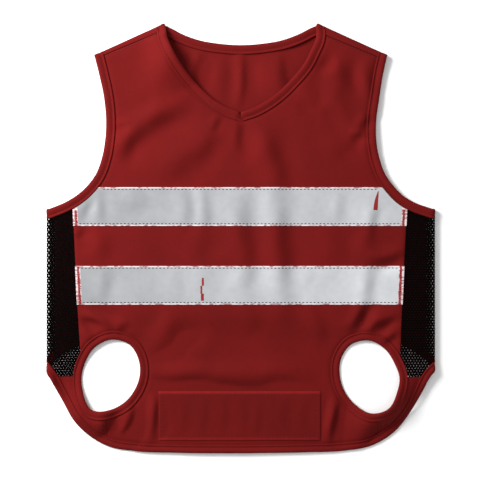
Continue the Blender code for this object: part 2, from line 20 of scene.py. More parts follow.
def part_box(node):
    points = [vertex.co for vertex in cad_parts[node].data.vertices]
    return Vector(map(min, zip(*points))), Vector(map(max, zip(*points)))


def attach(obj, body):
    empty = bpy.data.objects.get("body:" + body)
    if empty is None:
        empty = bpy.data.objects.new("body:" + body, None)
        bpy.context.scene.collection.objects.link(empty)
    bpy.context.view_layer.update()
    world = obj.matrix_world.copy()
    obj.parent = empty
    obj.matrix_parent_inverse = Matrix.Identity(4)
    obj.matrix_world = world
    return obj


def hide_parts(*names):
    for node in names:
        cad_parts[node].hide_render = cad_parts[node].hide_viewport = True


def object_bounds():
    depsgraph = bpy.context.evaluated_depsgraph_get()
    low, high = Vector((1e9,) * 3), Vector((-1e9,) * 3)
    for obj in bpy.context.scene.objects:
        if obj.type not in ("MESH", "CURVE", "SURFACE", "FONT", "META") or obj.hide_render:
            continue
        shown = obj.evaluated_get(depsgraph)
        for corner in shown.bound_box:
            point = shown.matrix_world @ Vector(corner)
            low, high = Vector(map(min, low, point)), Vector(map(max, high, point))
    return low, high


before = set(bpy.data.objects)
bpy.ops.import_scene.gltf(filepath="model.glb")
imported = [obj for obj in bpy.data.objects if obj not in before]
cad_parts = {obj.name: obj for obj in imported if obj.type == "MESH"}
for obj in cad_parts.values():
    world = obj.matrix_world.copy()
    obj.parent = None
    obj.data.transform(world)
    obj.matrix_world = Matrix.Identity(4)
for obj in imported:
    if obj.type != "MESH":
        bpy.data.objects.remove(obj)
SOLIDS_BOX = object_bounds()

bl_info = {
    "name": "Dog Safety Vest",
    "version": (1, 0, 0),
    "blender": (4, 5, 0),
    "location": "3D View > Sidebar > Vest",
    "description": "Dresses the solids of a dog safety vest in cloth, net, tape and stitches",
    "category": "Object",
}

MM = 0.001

# The vest's sides, as the sign of x there, with the words in the names of their nodes
LEFT, RIGHT = -1, 1
SIDES = {LEFT: "left", RIGHT: "right"}

# ---------------------------------------------------------------- sizes, in millimetres

CLOTH = 1.2
BINDING = 1.8
BINDING_CLOTH = 0.4
TAPE = 0.35
NET = 0.45
SEAM = 0.3
CLOTH_RIB = 0.62
BINDING_RIB = 0.5

NECK_WIDTH = 6.2
ARMHOLE_WIDTH = 6.2
LEG_WIDTH = 5.7
HEM_WIDTH = 5.3

# The side fold and the shoulder fold, and the levels of the middle of the cloth
SIDE_AXIS = 125.8
SIDE_RADIUS = 1.6
SHOULDER_RADIUS = 1.4
HALF_TURN_SIDE = math.pi * SIDE_RADIUS
HALF_TURN_SHOULDER = math.pi * SHOULDER_RADIUS
BACK_LEVEL = CLOTH / 2
SIDE_TOP = BACK_LEVEL + 2 * SIDE_RADIUS
SHOULDER_TOP = BACK_LEVEL + 2 * SHOULDER_RADIUS
BINDING_LIFT = (BINDING - CLOTH) / 2

SHOULDER_NECK = np.array((49.5, 140.1))
SHOULDER_ARM = np.array((96.0, 119.0))

# How far the back panel comes over each shoulder to its seam, at the neck and at the arm
STRIP = {LEFT: (2.3, 0.8), RIGHT: (3.4, 1.8)}

# How far a sheet is tucked under the next one, and how far a cut-away area reaches
TUCK = 2.2
PAST_EDGE = 12.0
PAST_SIDE = 20.0
PAST_END = 8.0

# Steps along an edge, and round a fold
EDGE_STEP = 1.6
FOLD_STEP = 0.6
FOLD_STATIONS = 8

# Over what distance the front comes level with the side fold and with the shoulder fold
TO_SIDE_FOLD = 5.0
TO_SHOULDER_FOLD = 6.0

Edge = namedtuple("Edge", "y left right")
NECK_EDGE = (
    Edge(132.0, -48.1, 49.4),
    Edge(123.4, -44.4, 45.9),
    Edge(113.5, -38.5, 40.6),
    Edge(105.0, -31.8, 33.4),
    Edge(98.0, -25.0, 26.4),
    Edge(90.8, -16.4, 17.0),
    Edge(86.1, -7.9, 8.4),
)
NECK_POINT = (0.0, 83.2)
ARMHOLE_EDGE = (
    Edge(108.2, -93.3, 93.7),
    Edge(92.4, -90.0, 91.2),
    Edge(77.2, -88.7, 89.2),
    Edge(64.7, -89.3, 89.2),
    Edge(52.8, -91.5, 91.3),
    Edge(42.2, -95.5, 95.2),
    Edge(34.3, -101.4, 100.8),
    Edge(28.4, -108.0, 106.6),
    Edge(23.8, -115.6, 114.2),
    Edge(19.6, -125.8, 125.8),
)
GUSSET_SEAM = (
    Edge(26.0, -110.9, 109.8),
    Edge(-39.0, -108.0, 106.6),
    Edge(-72.0, -106.0, 105.2),
    Edge(-84.0, -105.6, 104.8),
)

Half = namedtuple("Half", "out y")
BACK_NECK = (
    Half(45.8, 138.6),
    Half(40.0, 135.5),
    Half(28.4, 131.1),
    Half(14.0, 128.5),
    Half(0.0, 127.6),
)
HEM_BOTTOM = -141.6
FRONT_HEM = {
    LEFT: (
        Half(0.0, HEM_BOTTOM),
        Half(43.4, -141.3),
        Half(69.8, -140.3),
        Half(85.6, -137.8),
        Half(95.6, -133.2),
        Half(103.9, -126.3),
        Half(111.4, -117.3),
        Half(116.2, -109.6),
        Half(120.9, -101.2),
        Half(125.8, -91.6),
    ),
    RIGHT: (
        Half(0.0, HEM_BOTTOM),
        Half(43.4, -141.0),
        Half(69.8, -139.9),
        Half(85.6, -137.0),
        Half(95.6, -132.0),
        Half(102.8, -126.3),
        Half(110.1, -117.3),
        Half(114.8, -109.6),
        Half(119.4, -101.2),
        Half(125.8, -89.6),
    ),
}
BACK_HEM = (
    Half(125.8, -84.6),
    Half(121.2, -79.4),
    Half(115.3, -75.2),
    Half(106.0, -70.0),
    Half(96.2, -65.0),
    Half(84.9, -60.0),
    Half(66.5, -54.8),
    Half(40.0, -52.0),
    Half(0.0, -50.8),
)
BACK_SIDE_SEAM = 122.5

# Leg openings: distance of the edge from the centre, 0 degrees outward and 90 to the neck
LEG_CENTRE = {LEFT: (-85.6, -90.8), RIGHT: (85.0, -91.1)}
Reach = namedtuple("Reach", "degrees left right")
LEG_OPENING = (
    Reach(0, 19.4, 18.9),
    Reach(30, 19.3, 18.4),
    Reach(60, 21.6, 20.6),
    Reach(90, 24.0, 23.7),
    Reach(120, 24.0, 24.3),
    Reach(150, 21.0, 21.9),
    Reach(180, 18.8, 19.5),
    Reach(210, 18.0, 19.1),
    Reach(240, 19.2, 20.5),
    Reach(270, 21.9, 23.3),
    Reach(300, 25.0, 22.9),
    Reach(330, 21.2, 19.4),
)
HIP_TOP = -90.9
HIP_SEAM = {LEFT: -88.2, RIGHT: 90.2}

# How far outside the hip seam its rows of stitches lie
HIP_STITCHES = (1.0, 3.4)

# Where the cloth steps down: middle, direction, half its length, half its width, and half the
# drop. The cloth is high on the left of the direction and low on its right, or the other way
# round where the drop is negative.
Fall = namedtuple("Fall", "x y degrees reach width drop")
FRONT_FALLS = (
    # from the left armhole up to the neck
    Fall(-71.5, 62.0, 45, 16, 5.2, 1.5),
    Fall(-57.0, 76.0, 40, 17, 6.4, 1.7),
    Fall(-43.0, 84.5, 22, 15, 6.4, 1.0),
    Fall(-22.0, 59.0, 37, 16, 6.2, 0.85),
    Fall(-42.0, 45.0, 24, 22, 7.8, 0.8),
    Fall(-16.0, 75.5, 47, 8, 2.5, 0.5),
    Fall(-45.0, 106.0, 116, 20, 8.5, 0.8),
    Fall(-78.0, 74.0, -24, 6, 2.6, 0.7),
    Fall(-68.0, 91.0, 15, 11, 6.5, 0.4),
    # under the point of the V
    Fall(-0.5, 68.5, 95, 14, 3.0, 0.6),
    Fall(7.5, 62.0, 92, 17, 5.5, -0.8),
    Fall(24.6, 53.0, 114, 24, 6.8, 1.1),
    # from the right shoulder to the armhole
    Fall(44.0, 89.0, 8, 9, 5.5, 0.8),
    Fall(62.0, 80.0, -22, 15, 5.2, 0.9),
    Fall(68.5, 104.0, 92, 22, 6.4, 0.9),
    Fall(78.5, 104.0, 92, 15, 3.9, -0.7),
    Fall(86.0, 106.0, 82, 16, 4.2, 0.7),
    Fall(58.0, 113.0, 50, 10, 3.9, -0.9),
    Fall(82.0, 77.0, 80, 7, 3.4, 1.0),
    Fall(76.5, 68.5, 20, 5, 2.6, 1.0),
    Fall(80.5, 61.0, 80, 7, 3.9, -0.6),
    Fall(68.0, 57.0, 60, 10, 6.5, 0.5),
    # across the upper tape
    Fall(-101.0, 20.0, 66, 13, 2.6, 0.35),
    Fall(-96.5, 21.0, 75, 11, 2.8, -0.2),
    Fall(-91.5, 20.0, 90, 16, 3.2, 0.45),
    Fall(-68.0, 24.0, 60, 10, 7.8, 0.6),
    Fall(-36.0, 20.0, 92, 20, 4.6, 0.6),
    Fall(-29.0, 20.0, 88, 18, 3.2, -0.2),
    Fall(-23.0, 20.0, 92, 18, 3.9, 0.45),
    Fall(4.5, 6.0, 97, 34, 6.6, 0.9),
    Fall(15.0, 0.0, 92, 32, 6.5, -0.3),
    Fall(28.5, -8.0, 91, 60, 6.6, 1.0),
    Fall(46.0, -5.0, 90, 22, 9.1, -0.4),
    Fall(65.0, 19.0, 78, 13, 4.2, 0.4),
    Fall(61.5, 24.0, 78, 9, 2.9, -0.12),
    Fall(87.5, 11.0, 88, 13, 3.4, 0.65),
    # between the tapes
    Fall(66.0, -3.0, 85, 13, 7.8, 0.6),
    Fall(96.0, -13.0, 8, 15, 3.9, 1.7),
    Fall(86.0, -4.0, 100, 10, 5.2, 0.6),
    Fall(-106.0, 4.0, 70, 7, 2.9, 0.6),
    Fall(-93.0, -5.0, 50, 15, 6.0, 0.5),
    Fall(-99.0, -6.0, 50, 11, 5.2, -0.5),
    Fall(-60.0, -4.0, 85, 16, 10.4, 0.6),
    Fall(-18.0, -10.0, 80, 13, 6.5, -0.5),
    # across the lower tape
    Fall(-88.0, -31.0, 97, 15, 4.2, 0.45),
    Fall(-41.0, -30.0, 90, 14, 4.2, 0.3),
    Fall(6.5, -26.0, 92, 10, 4.6, 0.35),
    Fall(85.5, -31.0, 80, 16, 4.2, 0.7),
    Fall(45.0, -25.0, 92, 9, 3.2, 0.15),
    # between the lower tape and the leg openings
    Fall(-97.0, -54.0, -28, 11, 2.6, 1.4),
    Fall(-100.0, -60.5, -20, 7, 3.2, -0.9),
    Fall(-92.0, -51.5, -30, 12, 3.6, -0.9),
    Fall(-77.0, -59.0, 20, 6, 2.9, 0.7),
    Fall(-55.0, -57.0, 46, 14, 6.0, -0.9),
    Fall(-45.0, -61.5, 52, 18, 7.5, 0.5),
    Fall(-50.0, -72.0, 40, 13, 5.2, 0.7),
    Fall(-30.0, -66.0, 35, 15, 6.5, -0.5),
    Fall(8.0, -54.0, 90, 12, 5.2, 0.4),
    Fall(52.0, -58.0, 112, 15, 4.5, 0.7),
    Fall(77.5, -52.0, 56, 14, 3.4, 1.4),
    Fall(85.5, -53.0, 46, 13, 3.4, -1.1),
    Fall(94.0, -55.5, 31, 13, 3.0, 1.2),
    Fall(97.5, -60.5, 28, 8, 2.9, -0.8),
    Fall(98.0, -66.0, 20, 7, 2.6, 1.0),
    # round the patch
    Fall(-42.0, -92.0, 0, 25, 5.0, 1.5),
    Fall(-6.0, -95.0, -1, 30, 5.2, 1.2),
    Fall(30.0, -94.5, -7, 22, 5.2, 0.9),
    Fall(-55.8, -118.0, 90, 20, 3.2, 1.8),
    Fall(-62.5, -112.0, 88, 11, 3.9, -0.6),
    Fall(-74.2, -124.0, 68, 17, 4.2, 3.0),
    Fall(56.5, -117.0, 90, 20, 3.4, -1.2),
    Fall(62.5, -121.0, 86, 17, 3.4, 1.8),
    # towards the lower corners
    Fall(84.0, -130.0, 48, 16, 8.0, 2.0),
    Fall(-88.0, -126.0, 84, 14, 4.0, 1.4),
    Fall(-93.5, -124.5, 55, 20, 8.5, 3.0),
    Fall(-104.5, -115.5, 48, 15, 6.5, 1.5),
    Fall(-112.0, -104.0, -55, 14, 3.9, 0.6),
    Fall(101.0, -117.0, 48, 30, 8.5, 2.8),
)
BACK_FALLS = (
    Fall(2.5, 106.0, 84, 24, 3.2, 1.3),
    Fall(-4.0, 106.0, 86, 20, 3.5, -0.6),
    Fall(-28.5, 111.0, 50, 13, 4.4, 2.2),
    Fall(30.5, 110.0, 106, 16, 4.5, 1.3),
    Fall(-35.0, 112.0, 123, 28, 4.5, 1.3),
    # similar ones on the hidden part
    Fall(-58.0, 48.0, 60, 30, 5.0, 0.9),
    Fall(52.0, 30.0, 104, 34, 5.5, 0.9),
    Fall(-12.0, -8.0, 88, 34, 5.0, 0.9),
    Fall(80.0, -28.0, 76, 24, 4.5, 0.8),
    Fall(-84.0, -20.0, 98, 26, 4.5, 0.8),
    Fall(20.0, 60.0, 30, 26, 5.0, 0.8),
)
PATCH_FALLS = (
    Fall(-47.5, -117.0, 92, 17, 2.2, -0.15),
    Fall(-37.0, -117.0, 92, 18, 2.8, 0.21),
    Fall(-24.0, -117.0, 88, 17, 2.6, 0.18),
    Fall(-11.0, -116.0, 90, 18, 2.8, 0.21),
    Fall(2.0, -117.0, 93, 17, 2.6, 0.18),
    Fall(12.0, -121.0, 91, 15, 2.8, 0.24),
    Fall(30.0, -117.0, 88, 18, 3.2, 0.21),
    Fall(43.0, -117.0, 90, 16, 3.0, 0.18),
)

# Where the cloth stands up: middle, direction, half the length, width and height
Crest = namedtuple("Crest", "x y degrees reach width height")
FRONT_CRESTS = (
    Crest(-44.0, 126.0, 118, 29, 17.0, 5.6),
    Crest(97.5, -101.5, 48, 38, 16.0, 3.2),
    Crest(-97.0, -120.0, -30, 26, 10.0, 1.5),
    Crest(0.0, -143.0, 0, 105, 10.0, 1.6),
)
BACK_CRESTS = (
    Crest(22.5, 101.5, 104, 23, 8.0, 2.2),
    Crest(-14.0, 104.0, 80, 22, 9.0, 1.2),
)

# Marks on the tapes, where the red cloth shows: height, left side and right side
Mark = namedtuple("Mark", "y left right")
UPPER_TAPE_MARK = (
    Mark(31.0, 90.1, 90.7),
    Mark(27.0, 88.6, 90.5),
    Mark(23.0, 87.6, 90.2),
    Mark(18.6, 87.1, 90.0),
)
LOWER_TAPE_MARK = (
    Mark(-25.9, -25.6, -24.2),
    Mark(-31.0, -25.6, -24.2),
    Mark(-31.1, -26.5, -25.3),
    Mark(-36.2, -26.5, -25.3),
    Mark(-36.3, -26.2, -24.2),
    Mark(-41.0, -26.2, -24.2),
)

# Each tape's mark, how light it is, how much painted reflection makes it lighter to the right and darker
# to the left, and its stitches' seed
TapeLook = namedtuple("TapeLook", "mark tone brighter seed")
TAPES = {
    "tape_upper": TapeLook(UPPER_TAPE_MARK, 0.98, 0.31, 6),
    "tape_lower": TapeLook(LOWER_TAPE_MARK, 1.14, 0.35, 7),
}


# ---------------------------------------------------------------- lines on the cloth


def ease(share):
    """0 to 1 with level ends."""
    share = np.clip(share, 0, 1)
    return share * share * (3 - 2 * share)


def mix(start, end, share):
    return start + (end - start) * share


def unit(vectors):
    return vectors / np.maximum(np.linalg.norm(vectors, axis=-1, keepdims=True), 1e-9)


def chords(line, closed):
    """For each point, the step before it and the step after it."""
    after = np.roll(line, -1, axis=0) - line
    if not closed:
        after[-1] = after[-2]
    before = np.roll(after, 1, axis=0)
    if not closed:
        before[0] = after[0]
    return before, after


def smooth_curve(points, step, closed=False):
    """A smooth line through the points, with a point every step or less."""
    knots = np.array(points, float)
    before, after = chords(knots, closed)
    length_before = np.linalg.norm(before, axis=1, keepdims=True)
    length_after = np.linalg.norm(after, axis=1, keepdims=True)
    slopes = unit(before) * length_after + unit(after) * length_before
    slopes /= length_before + length_after
    line = []
    for i in range(len(knots) if closed else len(knots) - 1):
        following = (i + 1) % len(knots)
        length = length_after[i]
        pieces = max(1, math.ceil(float(length[0]) / step))
        t = (np.arange(pieces) / pieces)[:, None]
        bend_start = slopes[i] * length * (t**3 - 2 * t**2 + t)
        bend_end = slopes[following] * length * (t**3 - t**2)
        line.append(mix(knots[i], knots[following], ease(t)) + bend_start + bend_end)
    if not closed:
        line.append(knots[-1:])
    return np.concatenate(line)


def to_left(vectors):
    return unit(np.stack([-vectors[:, 1], vectors[:, 0]], axis=1))


def offset(line, distance, closed=False):
    """The line moved to its left by the distance, with mitred corners."""
    before, after = chords(line, closed)
    left_after = to_left(after)
    middle = unit(to_left(before) + left_after)
    share = (middle * left_after).sum(axis=1, keepdims=True)
    return line + middle * distance / share


def lengthened(line, extra):
    """The line with both its ends carried on straight."""
    first = line[:1] + unit(line[:1] - line[1:2]) * extra
    last = line[-1:] + unit(line[-1:] - line[-2:-1]) * extra
    return np.concatenate([first, line, last])


def beside(line, near, far):
    """The closed outline of what lies between two distances to the line's left."""
    long_line = lengthened(line, PAST_END)
    return np.concatenate([offset(long_line, near), offset(long_line, far)[::-1]])


def flipped(line, side):
    """The line as it is for the right side, or mirrored for the left."""
    return line * np.array((side, 1.0))


def edge_points(rows, side):
    return np.array([(row.left if side < 0 else row.right, row.y) for row in rows])


def shoulder_ends(side):
    return flipped(SHOULDER_NECK, side), flipped(SHOULDER_ARM, side)


def shoulder_outward(side):
    """The level direction that points out of the vest, square to the shoulder."""
    along = SHOULDER_ARM - SHOULDER_NECK
    return flipped(unit(np.array((-along[1], along[0]))), side)


def neck_half(side):
    """The front neck edge, from the shoulder down to the point of the V."""
    points = [shoulder_ends(side)[0], *edge_points(NECK_EDGE, side), NECK_POINT]
    return smooth_curve(points, EDGE_STEP)


def front_neck_line():
    """The front neck edge, left shoulder to right shoulder, and which point is the V's."""
    left = neck_half(-1)
    return np.concatenate([left, neck_half(1)[-2::-1]]), len(left) - 1


def back_neck_line():
    """The back neck edge, left shoulder to right shoulder."""
    half = np.array(BACK_NECK, float)
    left = [shoulder_ends(-1)[0], *flipped(half, -1)]
    return smooth_curve([*left, *half[-2::-1], shoulder_ends(1)[0]], EDGE_STEP)


def armhole_line(side):
    """The armhole edge from the shoulder down to the side fold, the same front and back."""
    return smooth_curve([shoulder_ends(side)[1], *edge_points(ARMHOLE_EDGE, side)], EDGE_STEP)


def folded_under(line):
    """The line on the back, measured along the cloth from the middle of the front."""
    return np.stack([2 * SIDE_AXIS + HALF_TURN_SIDE - line[:, 0], line[:, 1]], axis=1)


def hem_half(side):
    """The hem along the cloth: middle of the front, round the side fold, middle of the back."""
    knots = np.concatenate([np.array(FRONT_HEM[side]), folded_under(np.array(BACK_HEM, float))])
    fine = smooth_curve(knots, FOLD_STEP)
    line = [fine[0]]
    for point in fine[1:-1]:
        from_fold = abs(point[0] - SIDE_AXIS - HALF_TURN_SIDE / 2)
        if from_fold < HALF_TURN_SIDE or np.linalg.norm(point - line[-1]) > EDGE_STEP:
            line.append(point)
    return np.array(line + [fine[-1]])


def front_hem_line():
    """The front hem from fold to fold, left to right."""
    left, right = (hem_half(side) for side in SIDES)
    left, right = (line[line[:, 0] <= SIDE_AXIS + SIDE_RADIUS] for line in (left, right))
    return np.concatenate([flipped(left[:0:-1], -1), right])


def back_hem_line():
    """The back hem from fold to fold, left to right."""
    left, right = (hem_half(side) for side in SIDES)
    start = SIDE_AXIS + HALF_TURN_SIDE - SIDE_RADIUS
    left, right = (folded_under(line[line[:, 0] >= start]) for line in (left, right))
    return np.concatenate([flipped(left, -1), right[-2::-1]])


def leg_line(side):
    """The edge of a leg opening, with the cloth on its left."""
    turns = np.radians([row.degrees for row in LEG_OPENING])
    reaches = np.array([row.left if side < 0 else row.right for row in LEG_OPENING])
    spokes = np.stack([side * np.cos(turns), np.sin(turns)], axis=1) * reaches[:, None]
    points = np.array(LEG_CENTRE[side]) + spokes
    return smooth_curve(points[::-1] if side > 0 else points, EDGE_STEP, closed=True)


# ---------------------------------------------------------------- how the cloth lies

Relief = namedtuple("Relief", "left bottom step heights")


def blurred(grid, sigma):
    """The grid smoothed over sigma cells, both ways."""
    reach = int(3 * sigma)
    weights = np.exp(-0.5 * (np.arange(-reach, reach + 1) / sigma) ** 2)
    weights /= weights.sum()
    for axis in (0, 1):
        grid = np.apply_along_axis(np.convolve, axis, grid, weights, "same")
    return grid


def read_relief():
    """How high the middle of the front's cloth lies, read from the solids and smoothed."""
    # the grid's step in millimetres, and over how many steps it is smoothed
    step, near, wide = 2.0, 1.3, 6.0
    over_cloth, over_binding = ["front_panel"], ["neck_binding", "hem_binding"]
    for word in SIDES.values():
        over_cloth += [f"hip_piece_{word}", f"side_mesh_{word}"]
        over_binding += [f"armhole_binding_{word}", f"leg_binding_{word}"]
    layers = []
    for nodes, above in ((over_cloth, CLOTH / 2), (over_binding, BINDING / 2 + BINDING_LIFT)):
        for node in nodes:
            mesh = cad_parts[node].data
            corners = [v.co / MM for v in mesh.vertices]
            tree = BVHTree.FromPolygons(corners, [tuple(p.vertices) for p in mesh.polygons])
            layers.append((tree, above))
    low, high = SOLIDS_BOX
    xs = np.arange(low[0] / MM, high[0] / MM + step, step)
    ys = np.arange(low[1] / MM, high[1] / MM + step, step)
    heights = np.zeros((len(ys), len(xs)))
    clear = 1.0
    start, down = high[2] / MM + clear, Vector((0, 0, -1))
    for row, y in enumerate(ys):
        for column, x in enumerate(xs):
            for tree, above in layers:
                hit = tree.ray_cast(Vector((x, y, start)), down)[0]
                if hit:
                    heights[row, column] = max(heights[row, column], hit.z - above)
    # the back panel shows in the V and is no part of the front
    lowest_front = 0.4
    known = (heights > lowest_front).astype(float)
    close = blurred(known, near)
    far = blurred(known, wide)
    filled = blurred(heights * known, wide) / np.maximum(far, 1e-6)
    # the wide smoothing counts only where there is no front nearby
    faint = 0.02
    smoothed = (blurred(heights * known, near) + faint * filled) / (close + faint)
    return Relief(xs[0], ys[0], step, smoothed)


RELIEF = read_relief()


def relief_at(x, y):
    """The relief between its grid points."""
    # what lies beyond the grid takes the height at its rim
    last_row, last_column = np.array(RELIEF.heights.shape) - 1.001
    column = np.clip((x - RELIEF.left) / RELIEF.step, 0, last_column)
    row = np.clip((y - RELIEF.bottom) / RELIEF.step, 0, last_row)
    c, r = column.astype(int), row.astype(int)
    across, up = column - c, row - r
    grid = RELIEF.heights
    lower = mix(grid[r, c], grid[r, c + 1], across)
    upper = mix(grid[r + 1, c], grid[r + 1, c + 1], across)
    return mix(lower, upper, up)


def across_fold(fold, x, y):
    """For each point, how far to the left of a fold it lies, and how strong the fold is there."""
    turn = math.radians(fold.degrees)
    along = (x - fold.x) * math.cos(turn) + (y - fold.y) * math.sin(turn)
    across = (y - fold.y) * math.cos(turn) - (x - fold.x) * math.sin(turn)
    # a fold bends a little, so it isn't a ruled line, and it fades out towards its ends
    bend, winding, fading = 0.35, 2.4, 1.5
    share = along / fold.reach
    across = across + bend * fold.width * np.sin(share * winding + fold.x)
    return across, np.clip(1 - share**2, 0, 1) ** fading


def folds_rise(falls, x, y, crests=()):
    """How much the small folds lift the cloth."""
    rise = np.zeros_like(x)
    for fall in falls:
        across, strength = across_fold(fall, x, y)
        away = across / fall.width
        rise += fall.drop * strength * away * np.exp(0.5 * (1 - away**2))
    for crest in crests:
        across, strength = across_fold(crest, x, y)
        rise += crest.height * strength * np.exp(-((across / crest.width) ** 2))
    return rise


def unevenness(x, y):
    """The slight waviness of cloth that isn't pulled tight."""
    slow = np.sin(x / 7.3 + 1.7 * np.sin(y / 19.0)) * np.sin(y / 9.1 + 1.3 * np.sin(x / 23.0))
    quick = np.sin(x / 3.1 + y / 5.3 + 2.0 * np.sin(y / 11.0)) * np.sin(y / 3.7 - x / 8.9)
    slow_height, quick_height = 0.09, 0.03
    return slow_height * slow + quick_height * quick


def front_height(x, y):
    """Height of the middle of the front's cloth."""
    strength = bpy.context.scene.vest_sizes.crease_strength
    folds = folds_rise(FRONT_FALLS, x, y, FRONT_CRESTS)
    height = relief_at(x, y) + strength * (folds + unevenness(x, y))
    height = mix(height, SIDE_TOP, ease(1 - (SIDE_AXIS - np.abs(x)) / TO_SIDE_FOLD))
    as_right = np.stack([np.abs(x), y], axis=-1)
    below = (as_right - SHOULDER_NECK) @ -shoulder_outward(RIGHT)
    height = mix(height, SHOULDER_TOP, ease(1 - below / TO_SHOULDER_FOLD))
    return np.maximum(height, BACK_LEVEL)


def past_shoulder(points):
    """For each point, the direction out over its shoulder, and how far past the shoulder it is."""
    mirror = np.stack([np.where(points[:, 0] < 0, -1.0, 1.0), np.ones(len(points))], axis=1)
    out = shoulder_outward(RIGHT) * mirror
    return out, ((points - SHOULDER_NECK * mirror) * out).sum(axis=1)


def on_front(points, lift=0.0):
    """Lays cloth flat on the front. Gives its middle and the direction its face looks."""
    # what reaches past a shoulder is drawn back to it
    out, past = past_shoulder(points)
    x, y = (points - out * np.maximum(past, 0)[:, None]).T
    middles = np.stack([x, y, front_height(x, y) + lift], axis=1)
    return middles, np.tile((0.0, 0.0, 1.0), (len(points), 1))


def back_height(x, y):
    strength = bpy.context.scene.vest_sizes.crease_strength
    return BACK_LEVEL + strength * np.maximum(folds_rise(BACK_FALLS, x, y, BACK_CRESTS), 0)


def lay_front(side):
    """Lays cloth by its distance from the middle, round the side fold and back underneath."""

    def place(points, lift=0.0):
        out, y = points[:, 0], points[:, 1]
        past = out - SIDE_AXIS
        turn = np.clip(past / SIDE_RADIUS, 0, math.pi)
        under = np.maximum(past - HALF_TURN_SIDE, 0)
        x = np.minimum(out, SIDE_AXIS) + SIDE_RADIUS * np.sin(turn) - under
        bend = BACK_LEVEL + SIDE_RADIUS * (1 + np.cos(turn))
        z = np.where(past <= 0, front_height(side * np.minimum(out, SIDE_AXIS), y), bend)
        faces = np.stack([side * np.sin(turn), np.zeros_like(turn), np.cos(turn)], axis=1)
        middles = np.stack([side * x, y, z], axis=1)
        return middles + faces * (lift * np.cos(turn))[:, None], faces

    return place


def lay_back(points, lift=0.0):
    """Lays cloth on the ground, and turns it up over a shoulder where it goes past it."""
    out, past = past_shoulder(points)
    turn = np.clip(past / SHOULDER_RADIUS, 0, math.pi)
    over = np.maximum(past - HALF_TURN_SHOULDER, 0)
    reach = np.minimum(past, 0) + SHOULDER_RADIUS * np.sin(turn) - over
    flat = points + out * (reach - past)[:, None]
    bend = BACK_LEVEL + SHOULDER_RADIUS * (1 - np.cos(turn))
    x, y = flat[:, 0], flat[:, 1]
    z = np.where(past <= 0, back_height(x, y), np.where(over > 0, front_height(x, y), bend))
    faces = np.column_stack([out * np.sin(turn)[:, None], -np.cos(turn)])
    middles = np.column_stack([flat, z])
    return middles - faces * (lift * np.cos(turn))[:, None], faces


# ---------------------------------------------------------------- cutting the cloth

Cut = namedtuple("Cut", "points faces area")


def inside(points, outline):
    """For each point, whether it lies inside the closed outline."""
    x, y = points[:, 0], points[:, 1]
    found = np.zeros(len(points), bool)
    for a, b in zip(outline, np.roll(outline, -1, axis=0)):
        if a[1] != b[1]:
            crosses = (a[1] > y) != (b[1] > y)
            found ^= crosses & (x < (b[0] - a[0]) * (y - a[1]) / (b[1] - a[1]) + a[0])
    return found


def chosen(points, kept, dropped):
    """For each point, whether it lies inside all kept areas and no dropped one."""
    found = np.ones(len(points), bool)
    for area in kept:
        found &= inside(points, area)
    for area in dropped:
        found &= ~inside(points, area)
    return found


def distance_to(points, line):
    """How far each point lies from the line."""
    nearest = np.full(len(points), np.inf)
    for a, b in zip(line[:-1], line[1:]):
        run = b - a
        share = np.clip(((points - a) @ run) / max(run @ run, 1e-9), 0, 1)
        gap = points - a - share[:, None] * run
        nearest = np.minimum(nearest, np.hypot(gap[:, 0], gap[:, 1]))
    return nearest


def stepped(line, step, closed):
    """The line with points added where its own lie much more than a step apart."""
    ends = np.roll(line, -1, axis=0) if closed else line[1:]
    points = []
    for start, end in zip(line, ends):
        pieces = max(1, round(float(np.linalg.norm(end - start)) / step))
        points += [mix(start, end, k / pieces) for k in range(pieces)]
    return np.array(points if closed else points + [line[-1]])


def triangulate(outlines, lines, spacing):
    """Triangles between the outlines and lines, with evenly spaced points between them."""
    coords, edges = [], []
    runs = [(np.array(o), True) for o in outlines] + [(np.array(line), False) for line in lines]
    for line, closed in runs:
        first = len(coords)
        coords += stepped(line, spacing, closed).tolist()
        edges += [(k, k + 1) for k in range(first, len(coords) - 1)]
        if closed:
            edges.append((len(coords) - 1, first))
    low, high = np.array(outlines[0]).min(axis=0), np.array(outlines[0]).max(axis=0)
    row_height = spacing * math.sqrt(3) / 2
    rows = np.arange(low[1], high[1], row_height)
    columns = np.arange(low[0], high[0], spacing)
    grid = np.array([(x + (k % 2) * spacing / 2, y) for k, y in enumerate(rows) for x in columns])
    grid = grid[inside(grid, np.array(outlines[0]))]
    tree = KDTree(len(coords))
    for index, (x, y) in enumerate(coords):
        tree.insert((x, y, 0), index)
    tree.balance()
    nearest, tolerance = 0.62 * spacing, 1e-4
    free = [(x, y) for x, y in grid.tolist() if tree.find((x, y, 0))[2] > nearest]
    points = [Vector(c) for c in coords + free]
    points, _, faces = delaunay_2d_cdt(points, edges, [], 0, tolerance)[:3]
    return np.array([tuple(p) for p in points]), np.array([tuple(face) for face in faces])


def largest_piece(faces):
    """The faces of the largest connected piece."""
    by_edge = {}
    for index, face in enumerate(faces.tolist()):
        for a, b in zip(face, face[1:] + face[:1]):
            by_edge.setdefault((min(a, b), max(a, b)), []).append(index)
    beside_face = [[] for _ in faces]
    for pair in by_edge.values():
        if len(pair) == 2:
            beside_face[pair[0]].append(pair[1])
            beside_face[pair[1]].append(pair[0])
    left, largest = set(range(len(faces))), []
    while left:
        group, waiting = [], [left.pop()]
        while waiting:
            index = waiting.pop()
            group.append(index)
            for other in beside_face[index]:
                if other in left:
                    left.remove(other)
                    waiting.append(other)
        largest = max(largest, group, key=len)
    return faces[sorted(largest)]


def triangle_area(points, faces):
    a, b, c = (points[faces[:, k]] for k in range(3))
    (bx, by), (cx, cy) = (b - a).T, (c - a).T
    return abs(bx * cy - by * cx).sum() / 2


